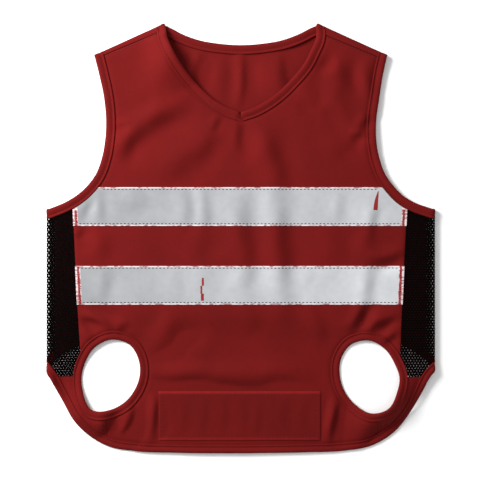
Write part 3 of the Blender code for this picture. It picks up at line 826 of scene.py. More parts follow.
def cut(outline, kept, dropped, spacing, lines=()):
    """The part of the outline that is inside all kept areas and no dropped one."""
    points, faces = triangulate([outline, *kept, *dropped], lines, spacing)
    faces = largest_piece(faces[chosen(points[faces].mean(axis=1), [outline, *kept], dropped)])
    used, renumbered = np.unique(faces, return_inverse=True)
    points, faces = points[used], renumbered.reshape(faces.shape)
    return Cut(points, faces, triangle_area(points, faces))


# ---------------------------------------------------------------- meshes


def outward(points, faces):
    """The faces, turned so that they look out of the closed mesh."""
    volume = 0.0
    for k in range(1, faces.shape[1] - 1):
        a, b, c = points[faces[:, 0]], points[faces[:, k]], points[faces[:, k + 1]]
        volume += (a * np.cross(b, c)).sum()
    return faces if volume > 0 else faces[:, ::-1]


def make_piece(name, points, faces, material, sharp=50):
    """A mesh object in metres, from points in millimetres."""
    mesh = bpy.data.meshes.new(name)
    mesh.from_pydata((points * MM).tolist(), [], faces)
    mesh.shade_smooth()
    mesh.set_sharp_from_angle(angle=math.radians(sharp))
    mesh.materials.append(material)
    piece = bpy.data.objects.new(name, mesh)
    bpy.context.scene.collection.objects.link(piece)
    return piece


def shell(name, cloth, place, thickness, material, rise=0.0):
    """A thin sheet of cloth. Rise moves it out, onto the cloth that carries it."""
    middles, looks = place(cloth.points)
    rise, half = np.broadcast_to(rise, len(middles)), np.broadcast_to(thickness / 2, len(middles))
    outer = middles + looks * (rise + half)[:, None]
    inner = middles + looks * (rise - half)[:, None]
    count, faces = len(middles), cloth.faces
    directed = set()
    for k in range(faces.shape[1]):
        directed.update(zip(faces[:, k].tolist(), np.roll(faces, -1, axis=1)[:, k].tolist()))
    rim = [(a, b) for a, b in sorted(directed) if (b, a) not in directed]
    walls = [(a, count + a, count + b, b) for a, b in rim]
    top = faces.tolist()
    bottom = (faces[:, ::-1] + count).tolist()
    points = np.concatenate([outer, inner])
    # it is flat where it rests on the floor
    points[:, 2] = np.maximum(points[:, 2], 0)
    turned = outward(points, np.concatenate([faces, faces[:, ::-1] + count]))
    if turned[0].tolist() != top[0]:
        top, bottom = faces[:, ::-1].tolist(), (faces + count).tolist()
        walls = [wall[::-1] for wall in walls]
    return make_piece(name, points, top + bottom + walls, material)


def dress(piece, node, flat, area=None):
    """Puts a sheet in place of its solid: attaches it to the root and hides the solid. Its cut, given in
    millimetres, is turned into metres but not used further.
    """
    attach(piece, "root")
    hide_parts(node)
    flat = (flat[0] * MM, flat[1] * MM)
    area = None if area is None else area * MM * MM


def cut_size(cloth):
    """Width and length of the smallest box round a cut, at whatever angle it lies."""
    boxes, turn_step = [], 3
    for degrees in range(0, 90, turn_step):
        turn = math.radians(degrees)
        axes = np.array([(math.cos(turn), math.sin(turn)), (-math.sin(turn), math.cos(turn))])
        boxes.append(np.ptp(cloth.points @ axes.T, axis=0).tolist())
    return min(boxes, key=math.prod)


# ---------------------------------------------------------------- bindings

# Across a binding: distance in from the free edge, with a negative one counted from the inner
# edge, and height above the middle. The low place near the inner edge is where it is stitched.
Across = namedtuple("Across", "inward height")
BINDING_FACE = (
    Across(0.10, 0.34),
    Across(0.40, 0.62),
    Across(0.85, 0.88),
    Across(1.45, 1.06),
    Across(2.30, 1.02),
    Across(-2.30, 0.60),
    Across(-1.55, 0.22),
    Across(-1.10, 0.46),
    Across(-0.75, 0.76),
    Across(-0.40, 0.78),
    Across(-0.10, 0.52),
    Across(0.0, 0.20),
)
STITCH_IN = 1.55

# The waves that a binding's gathers are made of
Wave = namedtuple("Wave", "height length start")
GATHERS = (Wave(1.0, 1.13, 0.0), Wave(0.8, 0.71, 1.0), Wave(0.9, 1.9, 2.0))

Rails = namedtuple("Rails", "middles looks")


def rail_places(width):
    """Distances in from the free edge, at which the binding's points lie."""
    places = [0.0]
    for row in BINDING_FACE:
        from_inner = row.inward < 0 or row is BINDING_FACE[-1]
        places.append(width + row.inward if from_inner else row.inward)
    return places


def rails(line, width, place, closed=False, turned=1):
    """The points across a binding, for each point of the edge that it follows."""
    lines = [offset(line, turned * inward, closed) for inward in rail_places(width)]
    middles, looks = zip(*(place(line, BINDING_LIFT) for line in lines))
    return Rails(np.array(middles), np.array(looks))


def shoulder_rails(side, start, end, width):
    """The points across a binding where it turns over a shoulder, from the back to the front."""
    stations = np.arange(1, FOLD_STATIONS) / FOLD_STATIONS
    over = shoulder_outward(side) * (HALF_TURN_SHOULDER * stations)[:, None]
    lines = [mix(start, end, inward / width) + over for inward in rail_places(width)]
    middles, looks = zip(*(lay_back(line, BINDING_LIFT) for line in lines))
    return Rails(np.array(middles), np.array(looks))


def joined(parts):
    """Rails one after the other. A part given with False runs backwards."""
    steps = [(part, 1 if forward else -1) for part, forward in parts]
    middles = np.concatenate([part.middles[:, ::step] for part, step in steps], axis=1)
    looks = np.concatenate([part.looks[:, ::step] for part, step in steps], axis=1)
    return Rails(middles, looks)


def some(part, stretch):
    return Rails(part.middles[:, stretch], part.looks[:, stretch])


def run_length(points):
    """How far along the line each of its points lies."""
    steps = np.linalg.norm(np.diff(points, axis=0), axis=1)
    return np.concatenate([[0.0], np.cumsum(steps)])


def puckers(along):
    """Small uneven gathers along a binding, from 0 to 1."""
    waves = sum(wave.height * np.sin(along / wave.length + wave.start) for wave in GATHERS)
    swell = 0.6 + 0.4 * np.sin(along / 13.0 + 1.5 * np.sin(along / 37.0))
    return np.clip(0.5 + 0.25 * waves, 0, 1) * swell


def bind(name, part, closed, material):
    """A strip folded over an edge: its outer face, the edge, and its face on the other side."""
    depth = bpy.context.scene.vest_sizes.pucker_depth / MM
    pressed_height, least_lining = 0.6, 0.04
    heights = np.array([0.0, *(row.height for row in BINDING_FACE)])
    gathers = puckers(run_length(part.middles[-2])) * depth
    drawn_in = heights[:, None] - gathers[None, :] * ease(heights / pressed_height)[:, None]
    # it is pressed flat where it turns over a fold
    pressed = np.minimum(drawn_in, pressed_height)
    drawn_in = mix(pressed, drawn_in, ease(np.abs(part.looks[..., 2])))
    lining = np.maximum(drawn_in - BINDING_CLOTH, least_lining)
    outer, inner = (part.looks * height[..., None] for height in (drawn_in, lining))
    outer_top, outer_under = part.middles + outer, part.middles - outer
    inner_top, inner_under = part.middles + inner, part.middles - inner
    # the ring starts at the inner edge on top, goes round the free edge, and comes back inside
    fold = 3
    ring = np.array([*outer_top[::-1], *outer_under[1:], *inner_under[:fold - 1:-1], *inner_top[fold:]])
    # it is flat where it rests on the floor
    ring[..., 2] = np.maximum(ring[..., 2], 0)
    size, count = ring.shape[:2]
    points = ring.transpose(1, 0, 2).reshape(-1, 3)
    stations = np.arange(count if closed else count - 1)
    here, there = stations * size, (stations + 1) % count * size
    faces = []
    for k in range(size):
        after = (k + 1) % size
        faces.append(np.stack([here + k, there + k, there + after, here + after], axis=1))
    faces = outward(points, np.concatenate(faces)).tolist()
    if not closed:
        lid = list(range(size))
        last = (count - 1) * size
        faces += [lid[::-1], [last + k for k in lid]]
        faces = faces_agreeing(faces)
    return make_piece(name, points, faces, material, sharp=60)


def faces_agreeing(faces):
    """The two end faces, the last ones, turned to agree with the sides."""
    directed = {(a, b) for face in faces[:-2] for a, b in zip(face, face[1:] + face[:1])}
    for index in (-2, -1):
        face = faces[index]
        if (face[0], face[1]) in directed:
            faces[index] = face[::-1]
    return faces


def make_binding(node, part, width, closed=True):
    """Binds an edge in place of its solid. The cut is the strip's width all round, and its length."""
    piece = bind(f"{node}_strip", part, closed, finish_for("red_binding"))
    flat = (2 * width + BINDING, float(run_length(part.middles[0])[-1]))
    dress(piece, node, flat)


# ---------------------------------------------------------------- stitches

Row = namedtuple("Row", "points looks")
Stitch = namedtuple("Stitch", "pitch length width height")


def stitch_template():
    """One stitch of length, width and height 1: its points and faces."""
    corners = 6
    points, faces = [], []
    for place, size in ((-0.5, 0.35), (-0.36, 1.0), (0.36, 1.0), (0.5, 0.35)):
        for turn in np.arange(corners) * math.pi / 3:
            points.append((place, 0.5 * size * math.cos(turn), 0.5 * size * math.sin(turn)))
    for ring in range(0, len(points) - corners, corners):
        for k in range(corners):
            here, after = ring + k, ring + (k + 1) % corners
            faces.append((here, here + corners, after + corners, after))
    faces.append(tuple(range(corners)))
    faces.append(tuple(reversed(range(len(points) - corners, len(points)))))
    return np.array(points), [face[::-1] for face in faces]


def along_row(values, at, where):
    """The row's values, known at some places along it, at other places."""
    return np.stack([np.interp(where, at, values[:, k]) for k in range(3)], axis=1)


def sew(name, rows, stitch, material, seed, across=False):
    """Rows of stitches, as one piece. Across lays each stitch square to its row."""
    template, template_faces = stitch_template()
    chance = np.random.default_rng(seed)
    uneven = 0.05
    points, faces = [], []
    for row in rows:
        at = run_length(row.points)
        places = np.arange(stitch.pitch / 2, at[-1] - stitch.pitch / 4, stitch.pitch)
        if not len(places):
            continue
        reach = stitch.length * 0.4
        ahead = along_row(row.points, at, places + reach) - along_row(row.points, at, places - reach)
        middles, looks = along_row(row.points, at, places), unit(along_row(row.looks, at, places))
        forward = unit(ahead)
        aside = unit(np.cross(looks, forward))
        if across:
            forward, aside = aside, -forward
        askew = chance.normal(0, uneven, len(places))[:, None]
        forward, aside = unit(forward + aside * askew), unit(aside - forward * askew)
        lengths = np.array(stitch[1:]) * chance.normal(1, uneven, (len(places), 3))
        local = template[None] * lengths[:, None]
        placed = middles[:, None] + local[..., :1] * forward[:, None]
        placed = placed + local[..., 1:2] * aside[:, None] + local[..., 2:] * looks[:, None]
        for one in placed:
            first = len(points) * len(template)
            points.append(one)
            faces += [tuple(first + corner for corner in face) for face in template_faces]
    piece = make_piece(name, np.concatenate(points), faces, material, sharp=70)
    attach(piece, "root")


def sew_seams(name, rows, seed):
    """Rows of stitches in seam thread, in the sizes that a user may change."""
    size = sizes()
    stitch = Stitch(size["stitch_pitch"], size["stitch_length"], size["thread_width"], height=0.3)
    sew(name, rows, stitch, finish_for("seam_thread"), seed)


def binding_row(part, stretch=slice(None), under=False):
    """The row of stitches on a binding, near its inner edge."""
    sunk = 0.08
    rail = [row.inward for row in BINDING_FACE].index(-STITCH_IN) + 1
    height = BINDING_FACE[rail - 1].height - sunk
    looks = part.looks[rail, stretch] * (-1 if under else 1)
    return Row(part.middles[rail, stretch] + looks * height, looks)


def row_on_front(line, rise):
    """A row of stitches along a line on the front."""
    step = 1.0
    middles, looks = on_front(stepped(np.array(line, float), step, closed=False))
    return Row(middles + looks * rise, looks)


# ---------------------------------------------------------------- finishes


class Signal:
    """A number that changes over a surface. Its operators add Math nodes to the finish."""

    def __init__(self, finish, socket):
        self.finish = finish
        self.socket = socket

    def maths(self, operation, *values):
        inputs = dict(enumerate(values))
        return self.finish.node("ShaderNodeMath", {"operation": operation}, inputs)

    def __add__(self, other):
        return self.maths("ADD", self, other)

    __radd__ = __add__

    def __sub__(self, other):
        return self.maths("SUBTRACT", self, other)

    def __rsub__(self, other):
        return self.maths("SUBTRACT", other, self)

    def __mul__(self, other):
        return self.maths("MULTIPLY", self, other)

    __rmul__ = __mul__

    def __truediv__(self, other):
        return self.maths("DIVIDE", self, other)

    def __rtruediv__(self, other):
        return self.maths("DIVIDE", other, self)

    def __abs__(self):
        return self.maths("ABSOLUTE", self)

    def sine(self):
        return self.maths("SINE", self)

    def larger(self, other):
        return self.maths("MAXIMUM", self, other)

    def smaller(self, other):
        return self.maths("MINIMUM", self, other)

    def step(self, start, end):
        """0 before start, 1 after end, and a soft step between them."""
        settings = {"interpolation_type": "SMOOTHSTEP"}
        return self.finish.node("ShaderNodeMapRange", settings, {0: self, 1: start, 2: end})


class Finish:
    """A material as it is put together, round its Principled BSDF."""

    def __init__(self, name, colour, roughness, specular):
        self.material = bpy.data.materials.new(name)
        self.material.use_nodes = True
        self.material.diffuse_color = (*colour, 1)
        self.tree = self.material.node_tree
        self.shader = self.tree.nodes["Principled BSDF"]
        self.shader.inputs["Base Color"].default_value = (*colour, 1)
        self.shader.inputs["Roughness"].default_value = roughness
        self.shader.inputs["Specular IOR Level"].default_value = specular

    def node(self, kind, settings=None, inputs=None, output=0):
        """Adds a node: its settings first, then the values or links of its sockets."""
        node = self.tree.nodes.new(kind)
        for key, value in (settings or {}).items():
            setattr(node, key, value)
        for key, value in (inputs or {}).items():
            self.feed(node.inputs[key], value)
        return Signal(self, node.outputs[output])

    def feed(self, socket, value):
        if isinstance(value, Signal):
            self.tree.links.new(value.socket, socket)
        else:
            socket.default_value = value

    def place(self):
        """The point on the surface, in millimetres: x, y and z."""
        point = self.node("ShaderNodeTexCoord", output="Object")
        parts = [self.node("ShaderNodeSeparateXYZ", {}, {0: point}, axis) for axis in (0, 1, 2)]
        return [part / MM for part in parts]

    def noise(self, size, detail=2.0, stretch=(1, 1, 1)):
        """Soft noise from 0 to 1, with spots of a size in millimetres."""
        point = self.node("ShaderNodeTexCoord", output="Object")
        scaled = self.node("ShaderNodeVectorMath", {"operation": "MULTIPLY"}, {0: point, 1: stretch})
        inputs = {"Vector": scaled, "Scale": 1 / (size * MM), "Detail": detail}
        return self.node("ShaderNodeTexNoise", {}, inputs, "Fac")

    def blend(self, share, first, second):
        """A colour between two, by a share from 0 to 1."""
        settings = {"data_type": "RGBA"}
        colours = [c if isinstance(c, Signal) else (*c, 1) for c in (first, second)]
        return self.node("ShaderNodeMix", settings, {0: share, 6: colours[0], 7: colours[1]}, 2)

    def colour(self, value):
        self.feed(self.shader.inputs["Base Color"], value)

    def roughness(self, value):
        self.feed(self.shader.inputs["Roughness"], value)

    def bump(self, height, distance):
        """Small relief, its depth in millimetres."""
        inputs = {"Height": height, "Distance": distance * MM, "Strength": 1.0}
        self.feed(self.shader.inputs["Normal"], self.node("ShaderNodeBump", {}, inputs, "Normal"))


def shade(colour, factor):
    return tuple(min(1.0, part * factor) for part in colour)


def cloth_finish(name, colour):
    return Finish(name, colour, roughness=0.88, specular=0.08)


def woven(name, colour, pitch):
    """Closely woven cloth: fine slanting ribs and a slight unevenness of dye."""
    finish = cloth_finish(name, colour)
    finish.colour(weave(finish, colour, pitch))
    return finish.material


def patch_cloth(name, colour, pitch, low, high):
    """The same cloth, a little darker, and paler round its turned-in rim: partly wear, partly a painted
    highlight that is strongest on the top edge, which faces the light.
    """
    finish = cloth_finish(name, colour)
    x, y, _ = finish.place()
    darker, highlight_and_wear, most_highlight_and_wear = 0.91, 1.75, 0.85
    # from and to which distance in from its edges the rim is paler, and how strongly; the top edge,
    # which faces the light, gets the most painted highlight
    top = between(high.y - y, 0.3, 2.2, soft=0.6)
    foot = between(y - low.y, 0.45, 1.6, soft=0.5) * 0.8
    sides = between((x - low.x).smaller(high.x - x), 0.5, 1.2, soft=0.5) * 0.25
    rim = top.larger(foot).larger(sides) * (0.5 + finish.noise(3.0, detail=3.0) * 0.8).smaller(1)
    cloth = weave(finish, shade(colour, darker), pitch)
    # the rim's paler colour is partly wear and partly painted highlight
    finish.colour(finish.blend(rim * most_highlight_and_wear, cloth, shade(colour, highlight_and_wear)))
    return finish.material


def weave(finish, colour, pitch):
    """Gives a finish the ribs and roughness of woven cloth, and returns its colour."""
    x, y, _ = finish.place()
    turn = 2 * math.pi / pitch
    ribs = ((x + y) * turn + finish.noise(9) * 2.0).sine()
    threads = (x * turn).sine() * (y * turn).sine()
    dye = finish.noise(38, detail=3.0) * 0.6 + finish.noise(3.2, detail=3.0) * 0.25
    dye = dye + finish.noise(0.9) * 0.15
    depth = (ribs * 0.5 + threads * 0.5 + 1) * 0.5
    share = (dye * 0.75 + depth * 0.25).step(0.25, 0.75)
    finish.roughness(0.80 + dye * 0.14)
    finish.bump(depth, distance=0.06)
    return finish.blend(share, shade(colour, 0.86), shade(colour, 1.14))


def netting(name, colour):
    """Black net of fine yarn."""
    finish = Finish(name, colour, roughness=0.8, specular=0.01)
    x, y, z = finish.place()
    yarn = ((x * 1.7 + y) * 9.0 + z * 7.0).sine() * 0.5 + 0.5
    share = finish.noise(5) * 0.7 + yarn * 0.3
    finish.colour(finish.blend(share, shade(colour, 0.6), shade(colour, 1.5)))
    finish.bump(yarn, distance=0.03)
    return finish.material


def between(value, low, high, soft):
    """1 between two places, which may change over the surface, and 0 beyond them."""
    after_low = ((value - low) / soft + 0.5).larger(0).smaller(1)
    before_high = ((high - value) / soft + 0.5).larger(0).smaller(1)
    return after_low * before_high


def mark_mask(x, y, rows):
    """1 inside a mark that is given by its left and right sides at some heights."""
    mask = 0
    for upper, lower in zip(rows[:-1], rows[1:]):
        depth = upper.y - lower.y
        share = (upper.y - y) / depth
        left = upper.left + share * (lower.left - upper.left)
        right = upper.right + share * (lower.right - upper.right)
        mask = mask + between(x, left, right, soft=0.25) * between(y, lower.y, upper.y, soft=0.02)
    return mask.smaller(1)


def reflective(name, colour, brighter, red, low, high, mark):
    """Grey reflective tape with a painted reflection that makes it lighter towards the right, pale bound
    edges, and the red cloth where it is worn through.
    """
    finish = Finish(name, colour, roughness=0.5, specular=0.35)
    x, y, _ = finish.place()
    rough_edge = (finish.noise(1.6, detail=3.0) - 0.5) * 0.9
    cloudy = finish.noise(16) * 0.6 + finish.noise(4, detail=3.0) * 0.4
    # painted reflection: the grey is painted lighter towards the right and darker towards the left, for
    # the light the tape throws back
    half_width = 110
    across = ((x + half_width) / (2 * half_width)).larger(0).smaller(1)
    grey_with_painted_reflection = finish.blend(across, shade(colour, 1 - brighter), shade(colour, 1 + brighter))
    grey = finish.blend(cloudy.step(0.3, 0.7) * 0.10, grey_with_painted_reflection, (0, 0, 0))
    border, end_border, soft = 0.75, 3.3, 0.2
    edges = (y - (high - border)).step(-soft, soft) + ((low + border) - y).step(-soft, soft)
    # the seams at its ends run a little closer together towards the hem
    top, foot = GUSSET_SEAM[:2]
    middle = (foot.left + foot.right) / 2
    half_top, half_foot = (top.right - top.left) / 2, (foot.right - foot.left) / 2
    seam = (y - foot.y) * ((half_top - half_foot) / (top.y - foot.y)) + half_foot
    edges = edges + (abs(x - middle) - seam + end_border).step(-soft, soft)
    fleck = finish.noise(1.1, detail=3.0, stretch=(0.35, 1, 1)).step(0.46, 0.58)
    pale_thread = (0.62, 0.53, 0.54)
    edging = finish.blend(fleck * 0.8, pale_thread, red)
    pale = finish.blend(edges.smaller(1) * 0.9, grey, edging)
    worn = mark_mask(x + rough_edge * 0.5, y + rough_edge * 0.4, mark)
    finish.colour(finish.blend(worn, pale, red))
    finish.roughness(0.44 + cloudy * 0.16 + worn * 0.3)
    finish.bump(finish.noise(0.25), distance=0.02)
    return finish.material


def thread(name, colour):
    """Twisted sewing thread."""
    finish = Finish(name, colour, roughness=0.6, specular=0.25)
    x, y, _ = finish.place()
    twists = 22.0
    twist = ((x + y) * twists).sine() * 0.5 + 0.5
    share = twist * 0.6 + finish.noise(2) * 0.4
    finish.colour(finish.blend(share, shade(colour, 0.75), shade(colour, 1.25)))
    finish.bump(twist, distance=0.02)
    return finish.material


def floor_white(name, colour):
    finish = Finish(name, colour, roughness=0.9, specular=0.0)
    spots, darker = 400, 0.995
    finish.colour(finish.blend(finish.noise(spots), shade(colour, darker), colour))
    return finish.material


# ---------------------------------------------------------------- what a user may change


class VestSizes(bpy.types.PropertyGroup):
    panel_step: bpy.props.FloatProperty(
        name="Panel step", description="Spacing of the points in a cloth panel",
        default=1.5 * MM, min=0.8 * MM, max=8 * MM, unit="LENGTH",
    )
    crease_strength: bpy.props.FloatProperty(
        name="Creases", description="How strongly the small creases show",
        default=1.0, min=0.0, max=2.0, subtype="FACTOR",
    )
    pucker_depth: bpy.props.FloatProperty(
        name="Pucker depth", description="Depth of the small gathers along the bindings",
        default=0.12 * MM, min=0.0, max=0.4 * MM, unit="LENGTH",
    )
    stitch_pitch: bpy.props.FloatProperty(
        name="Stitch pitch", description="Distance from one stitch to the next",
        default=2.45 * MM, min=1.5 * MM, max=5 * MM, unit="LENGTH",
    )
    stitch_length: bpy.props.FloatProperty(
        name="Stitch length", description="Length of the thread that shows in one stitch",
        default=1.35 * MM, min=0.5 * MM, max=4 * MM, unit="LENGTH",
    )
    thread_width: bpy.props.FloatProperty(
        name="Thread width", description="Width of the sewing thread",
        default=0.42 * MM, min=0.1 * MM, max=1 * MM, unit="LENGTH",
    )
    net_pitch: bpy.props.FloatProperty(
        name="Net pitch", description="Distance from one hole of the net to the next",
        default=1.95 * MM, min=1.2 * MM, max=5 * MM, unit="LENGTH",
    )
    net_hole: bpy.props.FloatProperty(
        name="Net hole", description="Width of one hole of the net",
        default=0.84 * MM, min=0.4 * MM, max=4 * MM, unit="LENGTH",
    )


class VestColours(bpy.types.PropertyGroup):
    cloth: bpy.props.FloatVectorProperty(
        name="Cloth", description="Colour of the panels and the patch",
        default=(0.114, 0.0044, 0.0042), min=0, max=1, subtype="COLOR",
    )
    binding: bpy.props.FloatVectorProperty(
        name="Bindings", description="Colour of the bound edges",
        default=(0.114, 0.0044, 0.0042), min=0, max=1, subtype="COLOR",
    )
    net: bpy.props.FloatVectorProperty(
        name="Net", description="Colour of the side nets",
        default=(0.0022, 0.0012, 0.0012), min=0, max=1, subtype="COLOR",
    )
    tape: bpy.props.FloatVectorProperty(
        name="Tape", description="Colour of the reflective tapes",
        default=(0.318, 0.326, 0.338), min=0, max=1, subtype="COLOR",
    )
    seam_thread: bpy.props.FloatVectorProperty(
        name="Seam thread", description="Colour of the stitches on the red cloth",
        default=(0.080, 0.004, 0.004), min=0, max=1, subtype="COLOR",
    )
    tape_thread: bpy.props.FloatVectorProperty(
        name="Tape thread", description="Colour of the stitches along the tapes",
        default=(0.022, 0.022, 0.025), min=0, max=1, subtype="COLOR",
    )
    end_thread: bpy.props.FloatVectorProperty(
        name="End thread", description="Colour of the dense stitches at the tapes' ends",
        default=(0.20, 0.004, 0.007), min=0, max=1, subtype="COLOR",
    )


def sizes():
    """The lengths that a user may change, in millimetres."""
    group = bpy.context.scene.vest_sizes
    lengths = [name for name in group.__annotations__ if name != "crease_strength"]
    return {name: getattr(group, name) / MM for name in lengths}


def finish_for(slot):
    """The finish of a slot or thread, made once."""
    name = f"{slot}_finish"
    colours = bpy.context.scene.vest_colours
    made = bpy.data.materials.get(name)
    if made:
        return made
    if slot == "red_cloth":
        return woven(name, tuple(colours.cloth), CLOTH_RIB)
    if slot == "red_binding":
        return woven(name, tuple(colours.binding), BINDING_RIB)
    if slot == "black_net":
        return netting(name, tuple(colours.net))
    return thread(name, tuple(getattr(colours, slot)))


# ---------------------------------------------------------------- areas of the pattern


def armhole_area(line, side, tuck=TUCK):
    return beside(line, -side * (ARMHOLE_WIDTH + SEAM - tuck), side * PAST_EDGE)


def neck_area(line):
    return beside(line, -(NECK_WIDTH + SEAM - TUCK), PAST_EDGE)


def hem_area(line, tuck=TUCK):
    return beside(line, HEM_WIDTH + SEAM - tuck, -PAST_EDGE)


def leg_area(side, tuck=TUCK):
    return offset(leg_line(side), LEG_WIDTH + SEAM - tuck, closed=True)


def shoulder_seam(side, gap=0.0):
    """The seam beside a shoulder, from the neck to the arm."""
    strips = np.array(STRIP[side]) + gap
    return np.array(shoulder_ends(side)) - shoulder_outward(side) * strips[:, None]


def shoulder_area(side, gap):
    """What the back panel covers on the front, from the shoulder to its seam."""
    seam = lengthened(shoulder_seam(side, gap), PAST_END)
    return np.concatenate([seam, seam[::-1] + shoulder_outward(side) * PAST_EDGE])


def gusset_area(side, gap):
    """The net's front part, out to past the side fold."""
    seam = edge_points(GUSSET_SEAM, side) - np.array((side * gap, 0))
    far = side * (SIDE_AXIS + PAST_SIDE)
    return np.array([*seam, (far, seam[-1][1]), (far, seam[0][1])])


def hip_area(side, gap):
    """Everything outside the seam under a leg opening, below the net."""
    seam, far = HIP_SEAM[side] - side * gap, side * (SIDE_AXIS + PAST_SIDE)
    low, top = HEM_BOTTOM - PAST_SIDE, HIP_TOP + gap
    return np.array([(seam, low), (seam, top), (far, top), (far, low)])


def front_outline():
    left, right, neck = armhole_line(LEFT), armhole_line(RIGHT), front_neck_line()[0]
    return np.concatenate([left, front_hem_line(), right[::-1], neck[::-1]])


def front_seams():
    """The seams that end the front panel: both shoulders, both gussets and both hips."""
    seams = []
    for side in SIDES:
        hip = np.array([(HIP_SEAM[side], HIP_TOP), (HIP_SEAM[side], HEM_BOTTOM)])
        seams += [shoulder_seam(side), edge_points(GUSSET_SEAM, side), hip]
    return seams


def binding_inner_edges(beyond):
    """Lines on the front, at a distance past the inner edge of each binding."""
    lines = [offset(front_neck_line()[0], -NECK_WIDTH - beyond)]
    lines.append(offset(front_hem_line(), HEM_WIDTH + beyond))
    for side in SIDES:
        lines.append(offset(armhole_line(side), -side * (ARMHOLE_WIDTH + beyond)))
        ring = offset(leg_line(side), LEG_WIDTH + beyond, closed=True)
        lines.append(np.concatenate([ring, ring[:1]]))
    return lines


def front_dip(points):
    """How far the front's cloth is drawn down at its seams and beside its bindings."""
    dip = np.zeros(len(points))
    for lines, depth, width in ((front_seams(), 0.45, 0.75), (binding_inner_edges(0.3), 0.4, 0.8)):
        for line in lines:
            dip = np.maximum(dip, depth * np.exp(-((distance_to(points, line) / width) ** 2)))
    return dip


# ---------------------------------------------------------------- the pieces


class VEST_OT_front_panel(bpy.types.Operator):
    """Makes the front panel and the two hip pieces."""

    bl_idname = "vest.front_panel"
    bl_label = "Front panel"

    def execute(self, context):
        material = finish_for("red_cloth")
        step = sizes()["panel_step"]
        outline = front_outline()
        bound = [neck_area(front_neck_line()[0]), hem_area(front_hem_line())]
        for side in SIDES:
            bound += [armhole_area(armhole_line(side), side), leg_area(side)]
        half = SEAM / 2
        beyond = [area(side, half) for side in SIDES for area in (shoulder_area, gusset_area, hip_area)]
        # points beside the seams and the bindings, where the cloth is drawn down
        lines = [offset(seam, shift) for seam in front_seams() for shift in (-0.9, 0.9)]
        for distance in (0.3, 1.0, 1.8):
            lines += binding_inner_edges(distance)
        panel = cut(outline, [], bound + beyond, step, lines)
        piece = shell("front_panel_cloth", panel, on_front, CLOTH, material, -front_dip(panel.points))
        dress(piece, "front_panel", cut_size(panel), panel.area)
        # the seam allowance goes under the front panel, and thins out there
        allowance, allowance_dip, allowance_thickness, thins_over = 1.5, 0.42, 0.3, 0.5
        for side, word in SIDES.items():
            area = hip_area(side, -half)
            area[:2, 0] -= side * allowance
            hip = cut(outline, [area], bound, step)
            under = ease((side * (HIP_SEAM[side] - hip.points[:, 0]) + 0.1) / thins_over)
            dip = mix(front_dip(hip.points), allowance_dip, under)
            thickness = mix(CLOTH, allowance_thickness, under)
            piece = shell(f"hip_piece_{word}_cloth", hip, on_front, thickness, material, -dip)
            dress(piece, f"hip_piece_{word}", cut_size(hip), hip.area)
        return {"FINISHED"}


class VEST_OT_seam_stitches(bpy.types.Operator):
    """Sews the rows of stitches beside the shoulder seams and the hip seams."""

    bl_idname = "vest.seam_stitches"
    bl_label = "Seam stitches"

    def execute(self, context):
        # where the rows start and end; past_binding is in widths of the binding
        beside_seam, past_binding, below_leg, above_hem = 1.1, 1.15, 2.5, 1.0
        leg_foot = next(row for row in LEG_OPENING if row.degrees == 270)
        rows = []
        for side in SIDES:
            neck, arm = shoulder_seam(side, beside_seam)
            along = unit(arm - neck)
            start = neck + along * NECK_WIDTH * past_binding
            rows.append(row_on_front([start, arm - along * ARMHOLE_WIDTH * past_binding], CLOTH / 2))
            high = LEG_CENTRE[side][1] - leg_foot.left - LEG_WIDTH - below_leg
            for aside in HIP_STITCHES:
                x = HIP_SEAM[side] + side * aside
                low = np.interp(abs(x), *np.array(FRONT_HEM[side]).T) + HEM_WIDTH + above_hem
                rows.append(row_on_front([(x, high), (x, low)], CLOTH / 2))
        sew_seams("seam_stitches", rows, seed=1)
        return {"FINISHED"}


def turned_over(side, line, strip):
    """The start of a front edge, unrolled past the shoulder onto the back panel's pattern."""
    out = shoulder_outward(side)
    neck = shoulder_ends(side)[0]
    foot, step = line[0], line[3] - line[0]
    end = foot - step * ((strip - SEAM / 2) / (step @ out))
    past = -((end - neck) @ out)
    return np.array([end + out * (2 * past + HALF_TURN_SHOULDER), foot + out * HALF_TURN_SHOULDER])


class VEST_OT_back_panel(bpy.types.Operator):
    """Makes the back panel, with the strip that turns over each shoulder."""

    bl_idname = "vest.back_panel"
    bl_label = "Back panel"

    def execute(self, context):
        arms, areas, bends = {}, [], []
        for side in SIDES:
            line = armhole_line(side)
            arms[side] = np.concatenate([turned_over(side, line, STRIP[side][1]), line])
            areas.append(armhole_area(arms[side], side))
            ends = np.array(shoulder_ends(side))
            for turn in np.linspace(0, HALF_TURN_SHOULDER, FOLD_STATIONS + 1):
                bends.append(ends + shoulder_outward(side) * turn)
        left, right = (turned_over(side, neck_half(side), STRIP[side][0]) for side in SIDES)
        neck = np.concatenate([left, back_neck_line(), right[::-1]])
        hem = back_hem_line()
        outline = np.concatenate([arms[LEFT], hem, arms[RIGHT][::-1], neck[::-1]])
        areas += [neck_area(neck), hem_area(hem)]
        out = BACK_SIDE_SEAM - SEAM / 2
        low, high = BACK_HEM[0].y - PAST_SIDE, SHOULDER_NECK[1] + PAST_SIDE
        sides = np.array([(-out, low), (out, low), (out, high), (-out, high)])
        coarser = 1.7
        panel = cut(outline, [sides], areas, coarser * sizes()["panel_step"], bends)
        piece = shell("back_panel_cloth", panel, lay_back, CLOTH, finish_for("red_cloth"))
        dress(piece, "back_panel", cut_size(panel), panel.area)
        return {"FINISHED"}


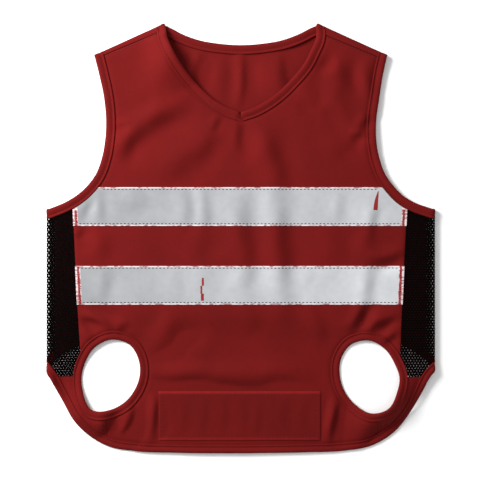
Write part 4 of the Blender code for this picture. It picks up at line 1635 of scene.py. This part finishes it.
def net_cut(outline, dropped, pitch, hole):
    """Cells of net, each a ring round its hole, where their middles lie in the area.

    The holes above and below the side fold lie over each other, and are larger next to it."""
    low, high = outline.min(axis=0), outline.max(axis=0)
    fold = SIDE_AXIS + HALF_TURN_SIDE / 2
    row_height = pitch * math.sqrt(3) / 2
    rows = np.arange(low[1], high[1], row_height)
    columns = np.arange(fold - math.ceil((fold - low[0]) / pitch) * pitch, high[0], pitch)
    centres = np.array([(x + (k % 2) * pitch / 2, y) for k, y in enumerate(rows) for x in columns])
    centres = centres[chosen(centres, [outline], dropped)]
    # a cell has six corners and the middles between them, and its hole a point for each
    corners = np.arange(12)
    turns = np.radians(corners * 30.0)
    reach = np.where(corners % 2, pitch / math.sqrt(3), pitch / 2)
    directions = np.stack([np.cos(turns), np.sin(turns)], axis=1)
    border = centres[:, None] + directions * reach[:, None]
    wider, wider_within = 0.45, 8.0
    pulled = 1 + wider * ease(1 - np.abs(centres[:, 0] - fold) / wider_within)
    rim = centres[:, None] + directions * pulled[:, None, None] * hole / 2
    # neighbours share the points of their borders, which round to the same place
    places_per_mm = 200
    keys = np.round(border.reshape(-1, 2) * places_per_mm).astype(int)
    _, first, shared = np.unique(keys, axis=0, return_index=True, return_inverse=True)
    shared = shared.reshape(len(centres), -1)
    points = np.concatenate([border.reshape(-1, 2)[first], rim.reshape(-1, 2)])
    holes = len(first) + np.arange(shared.size).reshape(shared.shape)
    after, holes_after = np.roll(shared, -1, axis=1), np.roll(holes, -1, axis=1)
    faces = np.stack([shared, after, holes_after, holes], axis=-1).reshape(-1, 4)
    area = len(centres) * pitch * row_height
    # a strand is thinner at the rim of a hole than along its middle
    thin = 0.62
    strand = np.concatenate([np.full(len(first), 1.0), np.full(holes.size, thin)])
    return Cut(points, faces, area), strand


class VEST_OT_side_nets(bpy.types.Operator):
    """Makes the net at each side, from the front seam round the fold to the back seam."""

    bl_idname = "vest.side_nets"
    bl_label = "Side nets"

    def execute(self, context):
        size = sizes()
        tuck, bulge, bulge_within = 1.2, 0.4, 6.0
        for side, word in SIDES.items():
            armhole = flipped(armhole_line(side), side)
            armhole = np.concatenate([armhole, folded_under(armhole[::-1])])
            leg = flipped(leg_area(side, tuck), side)
            taken = [armhole_area(armhole, RIGHT, tuck), hem_area(hem_half(side), tuck), leg]
            seam = flipped(edge_points(GUSSET_SEAM, side), side) - np.array((tuck, 0))
            far = folded_under(np.array([(BACK_SIDE_SEAM - tuck, 0)]))[0, 0]
            low = HIP_TOP - tuck
            outline = np.array([*seam, (seam[-1][0], low), (far, low), (far, seam[0][1])])
            net, strand = net_cut(outline, taken, size["net_pitch"], size["net_hole"])
            from_fold = np.abs(net.points[:, 0] - SIDE_AXIS - HALF_TURN_SIDE / 2)
            rise = bulge * ease(1 - from_fold / bulge_within)
            material = finish_for("black_net")
            piece = shell(f"side_mesh_{word}_net", net, lay_front(side), NET * strand, material, rise)
            dress(piece, f"side_mesh_{word}", cut_size(net), net.area)
        return {"FINISHED"}


class VEST_OT_armhole_bindings(bpy.types.Operator):
    """Makes each armhole's binding: down the front, round the side, up the back, over the shoulder."""

    bl_idname = "vest.armhole_bindings"
    bl_label = "Armhole bindings"

    def execute(self, context):
        rows = []
        for side, word in SIDES.items():
            front = flipped(armhole_line(side), side)
            turns = np.arange(1, FOLD_STATIONS) / FOLD_STATIONS * HALF_TURN_SIDE
            turn = front[-1] + np.stack([turns, np.zeros_like(turns)], axis=1)
            line = np.concatenate([front, turn, folded_under(front[::-1])])
            round_side = rails(line, ARMHOLE_WIDTH, lay_front(side), turned=-1)
            neck, arm = shoulder_ends(side)
            inner = arm + unit(neck - arm) * ARMHOLE_WIDTH
            over = shoulder_rails(side, arm, inner, ARMHOLE_WIDTH)
            part = joined([(round_side, True), (over, True)])
            make_binding(f"armhole_binding_{word}", part, ARMHOLE_WIDTH)
            rows.append(binding_row(round_side, slice(2, len(front) - 1)))
        sew_seams("armhole_stitches", rows, seed=2)
        return {"FINISHED"}


def lay_back_edge(points, lift=0.0):
    """Lays the back neck's edge, with its outer face down. It stands up a little at the right."""
    x, y = points[:, 0], points[:, 1]
    stands, more, more_at, more_within = 0.7, 0.8, 38, 9
    raised = stands + more * np.exp(-(((x - more_at) / more_within) ** 2))
    middles = np.stack([x, y, BACK_LEVEL + raised + lift], axis=1)
    return middles, np.tile((0.0, 0.0, -1.0), (len(points), 1))


class VEST_OT_neck_binding(bpy.types.Operator):
    """Makes the neck's binding, one strip that is mitred at the V."""

    bl_idname = "vest.neck_binding"
    bl_label = "Neck binding"

    def execute(self, context):
        line, point = front_neck_line()
        front = rails(line, NECK_WIDTH, on_front, turned=-1)
        left, right = some(front, slice(0, point + 1)), some(front, slice(point, None))
        # the mitre's two sides lie a seam apart, and are drawn down
        drawn_down = 0.45
        for part, end, side in ((left, -1, LEFT), (right, 0, RIGHT)):
            part.middles[:, end, 0] += side * SEAM / 2
            part.middles[:, end, 2] -= drawn_down
        back = rails(back_neck_line(), NECK_WIDTH, lay_back_edge, turned=-1)
        over = {}
        for side in SIDES:
            neck, arm = shoulder_ends(side)
            over[side] = shoulder_rails(side, neck, neck + unit(arm - neck) * NECK_WIDTH, NECK_WIDTH)
        order = [(left, False), (over[LEFT], False), (back, True), (over[RIGHT], True), (right, False)]
        make_binding("neck_binding", joined(order), NECK_WIDTH, closed=False)
        rows = [
            binding_row(some(front, slice(2, point))),
            binding_row(some(front, slice(point + 1, -2))),
            binding_row(some(back, slice(4, -4)), under=True),
        ]
        sew_seams("neck_stitches", rows, seed=3)
        return {"FINISHED"}


class VEST_OT_leg_bindings(bpy.types.Operator):
    """Makes the ring of binding round each leg opening."""

    bl_idname = "vest.leg_bindings"
    bl_label = "Leg bindings"

    def execute(self, context):
        rows = []
        for side, word in SIDES.items():
            part = rails(leg_line(side), LEG_WIDTH, on_front, closed=True)
            make_binding(f"leg_binding_{word}", part, LEG_WIDTH)
            rows.append(binding_row(part))
        sew_seams("leg_stitches", rows, seed=4)
        return {"FINISHED"}


class VEST_OT_hem_binding(bpy.types.Operator):
    """Makes the hem's binding: the front hem, both side folds and the back hem."""

    bl_idname = "vest.hem_binding"
    bl_label = "Hem binding"

    def execute(self, context):
        left, right = (rails(hem_half(side), HEM_WIDTH, lay_front(side)) for side in SIDES)
        part = joined([(left, True), (some(right, slice(1, -1)), False)])
        make_binding("hem_binding", part, HEM_WIDTH)
        rows = []
        for side, half in ((LEFT, left), (RIGHT, right)):
            on_top = int((hem_half(side)[:, 0] < SIDE_AXIS).sum())
            rows.append(binding_row(half, slice(0, on_top)))
        sew_seams("hem_stitches", rows, seed=5)
        return {"FINISHED"}


class VEST_OT_tapes(bpy.types.Operator):
    """Makes the two reflective tapes with their stitches and the dense stitches at their ends."""

    bl_idname = "vest.tapes"
    bl_label = "Reflective tapes"

    def execute(self, context):
        size = sizes()
        colours = context.scene.vest_colours
        outline, far = front_outline(), SIDE_AXIS + PAST_SIDE
        red = shade(tuple(colours.cloth), 1.8)
        away = [armhole_area(armhole_line(side), side, 0) for side in SIDES]
        away += [gusset_area(side, 0) for side in SIDES]
        clear, sunk, close = 0.03, 0.02, 1.0
        rise, top = CLOTH / 2 + TAPE / 2 + clear, CLOTH / 2 + TAPE
        width = 1.4 * size["thread_width"]
        along_stitch = Stitch(size["stitch_pitch"], size["stitch_length"], width, height=0.35)
        end_stitch = Stitch(pitch=0.42, length=1.95, width=0.5, height=0.28)
        # how far in from its edges and its ends the stitches along a tape lie, how far in from its
        # ends the dense ones lie, and how high these go, to stop below the armhole's binding
        from_edge, from_end, dense_from_end, dense_top = 1.4, 3.4, 2.0, 19.0
        for node, look in TAPES.items():
            low, high = (corner.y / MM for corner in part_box(node))
            band = np.array([(-far, low), (far, low), (far, high), (-far, high)])
            tape = cut(outline, [band], away, size["panel_step"])
            colour = shade(tuple(colours.tape), look.tone)
            material = reflective(f"{node}_finish", colour, look.brighter, red, low, high, look.mark)
            piece = shell(f"{node}_strip", tape, on_front, TAPE, material, rise)
            dress(piece, node, cut_size(tape), tape.area)
            rows, ends = [], []
            for y in (low + from_edge, high - from_edge):
                near = tape.points[np.abs(tape.points[:, 1] - y) < close, 0]
                line = [(near.min() + from_end, y), (near.max() - from_end, y)]
                rows.append(row_on_front(line, top))
            for side in SIDES:
                line = edge_points(GUSSET_SEAM, side) - np.array((side * dense_from_end, 0))
                ys = np.linspace(low, min(high, dense_top), 24)
                waver = 0.12 * np.sin(ys * 0.9 + side)
                xs = np.interp(ys, line[::-1, 1], line[::-1, 0]) + waver
                ends.append(row_on_front(np.stack([xs, ys], axis=1), top - sunk))
            sew(f"{node}_stitches", rows, along_stitch, finish_for("tape_thread"), look.seed)
            sew(f"{node}_end_stitches", ends, end_stitch, finish_for("end_thread"),
                look.seed + 10, across=True)
        return {"FINISHED"}


class VEST_OT_patch(bpy.types.Operator):
    """Makes the plain patch, with its turned-in border and its stitches."""

    bl_idname = "vest.patch"
    bl_label = "Patch"

    def execute(self, context):
        low, high = (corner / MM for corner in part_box("patch"))
        corners = np.array([(low.x, low.y), (high.x, low.y), (high.x, high.y), (low.x, high.y)])
        border, thickness, clear = 2.3, 0.5, 0.05
        # distances in from its edge, past the stitches, and how high its rolled rim lies there
        inward, heights = (0.0, 0.5, 1.0, 1.5, border, 3.2), (-0.35, 0.0, 0.3, 0.3, 0.0, 0.1)
        lines = []
        for distance in inward[1:]:
            ring = offset(corners, distance, closed=True)
            lines.append(np.concatenate([ring, ring[:1]]))
        patch = cut(corners, [], [], sizes()["panel_step"], lines)
        from_edge = distance_to(patch.points, np.concatenate([corners, corners[:1]]))
        rolled = np.interp(from_edge, inward, heights)
        # its sides are pressed flatter than its top and foot
        half, middle = np.array((high - low).xy) / 2, np.array((high + low).xy) / 2
        from_sides, from_ends = (half - np.abs(patch.points - middle)).T
        flatter, corner = 0.35, 3.0
        rolled *= mix(flatter, 1.0, ease((from_sides - from_ends) / corner + 0.5))
        waves = folds_rise(PATCH_FALLS, patch.points[:, 0], patch.points[:, 1])
        relief = rolled + waves * ease((from_edge - border) / 4.0)
        rise = CLOTH / 2 + thickness / 2 + clear + relief
        colour = tuple(context.scene.vest_colours.cloth)
        material = patch_cloth("patch_finish", colour, CLOTH_RIB, low, high)
        piece = shell("patch_cloth", patch, on_front, thickness, material, rise)
        dress(piece, "patch", cut_size(patch), patch.area)
        ring = offset(corners, border, closed=True)
        top = CLOTH / 2 + thickness + clear
        rows = [row_on_front(side, top) for side in zip(ring, np.roll(ring, -1, axis=0))]
        sew_seams("patch_stitches", rows, seed=8)
        return {"FINISHED"}


class VEST_OT_stage(bpy.types.Operator):
    """Makes the white floor, the soft light from the upper left and the camera above."""

    bl_idname = "vest.stage"
    bl_label = "Floor, light and camera"

    def execute(self, context):
        scene = context.scene
        # the stage's sizes are in metres
        half = 2.0
        corners = np.array([(-half, -half, 0), (half, -half, 0), (half, half, 0), (-half, half, 0)]) / MM
        white = floor_white("floor_finish", (0.96, 0.96, 0.96))
        floor = make_piece("floor", corners, [(0, 1, 2, 3)], white)

        world = bpy.data.worlds.new("studio")
        world.use_nodes = True
        background = world.node_tree.nodes["Background"]
        background.inputs["Color"].default_value = (1, 1, 1, 1)
        background.inputs["Strength"].default_value = 0.62
        scene.world = world

        key = bpy.data.lights.new("key_light", "AREA")
        key.shape = "SQUARE"
        key.size = 0.32
        key.energy = 10.2
        lamp = bpy.data.objects.new("key_light", key)
        towards, distance = Vector((-0.69, 0.46, 0.56)), 0.72
        lamp.location = towards.normalized() * distance
        lamp.rotation_euler = towards.to_track_quat("Z", "Y").to_euler()
        scene.collection.objects.link(lamp)

        camera = bpy.data.cameras.new("camera")
        camera.lens = 85.0
        camera.sensor_width = 36.0
        # how wide a field it takes in, and at what height above the floor
        field, level = 0.3160, 0.003
        viewer = bpy.data.objects.new("camera", camera)
        viewer.location = (-0.0005, -0.0010, field * camera.lens / camera.sensor_width + level)
        scene.collection.objects.link(viewer)
        scene.camera = viewer
        scene.view_settings.view_transform = "Standard"
        return {"FINISHED"}


class VEST_PT_panel(bpy.types.Panel):
    """Lists the vest's pieces and what may be changed."""

    bl_idname = "VEST_PT_panel"
    bl_label = "Dog Safety Vest"
    bl_space_type = "VIEW_3D"
    bl_region_type = "UI"
    bl_category = "Vest"

    def draw(self, context):
        layout = self.layout
        for group in (context.scene.vest_sizes, context.scene.vest_colours):
            box = layout.box()
            for name in group.__annotations__:
                box.prop(group, name)
        for operator in OPERATORS:
            layout.operator(operator.bl_idname)


OPERATORS = (
    VEST_OT_front_panel,
    VEST_OT_back_panel,
    VEST_OT_side_nets,
    VEST_OT_neck_binding,
    VEST_OT_armhole_bindings,
    VEST_OT_leg_bindings,
    VEST_OT_hem_binding,
    VEST_OT_tapes,
    VEST_OT_patch,
    VEST_OT_seam_stitches,
    VEST_OT_stage,
)
CLASSES = (VestSizes, VestColours, *OPERATORS, VEST_PT_panel)


def register():
    for item in CLASSES:
        bpy.utils.register_class(item)
    bpy.types.Scene.vest_sizes = bpy.props.PointerProperty(type=VestSizes)
    bpy.types.Scene.vest_colours = bpy.props.PointerProperty(type=VestColours)


def unregister():
    del bpy.types.Scene.vest_colours
    del bpy.types.Scene.vest_sizes
    for item in reversed(CLASSES):
        bpy.utils.unregister_class(item)


def main():
    register()
    bpy.ops.vest.stage()
    bpy.ops.vest.front_panel()
    bpy.ops.vest.back_panel()
    bpy.ops.vest.side_nets()
    bpy.ops.vest.neck_binding()
    bpy.ops.vest.armhole_bindings()
    bpy.ops.vest.leg_bindings()
    bpy.ops.vest.hem_binding()
    bpy.ops.vest.tapes()
    bpy.ops.vest.patch()
    bpy.ops.vest.seam_stitches()


if __name__ == "__main__":
    main()
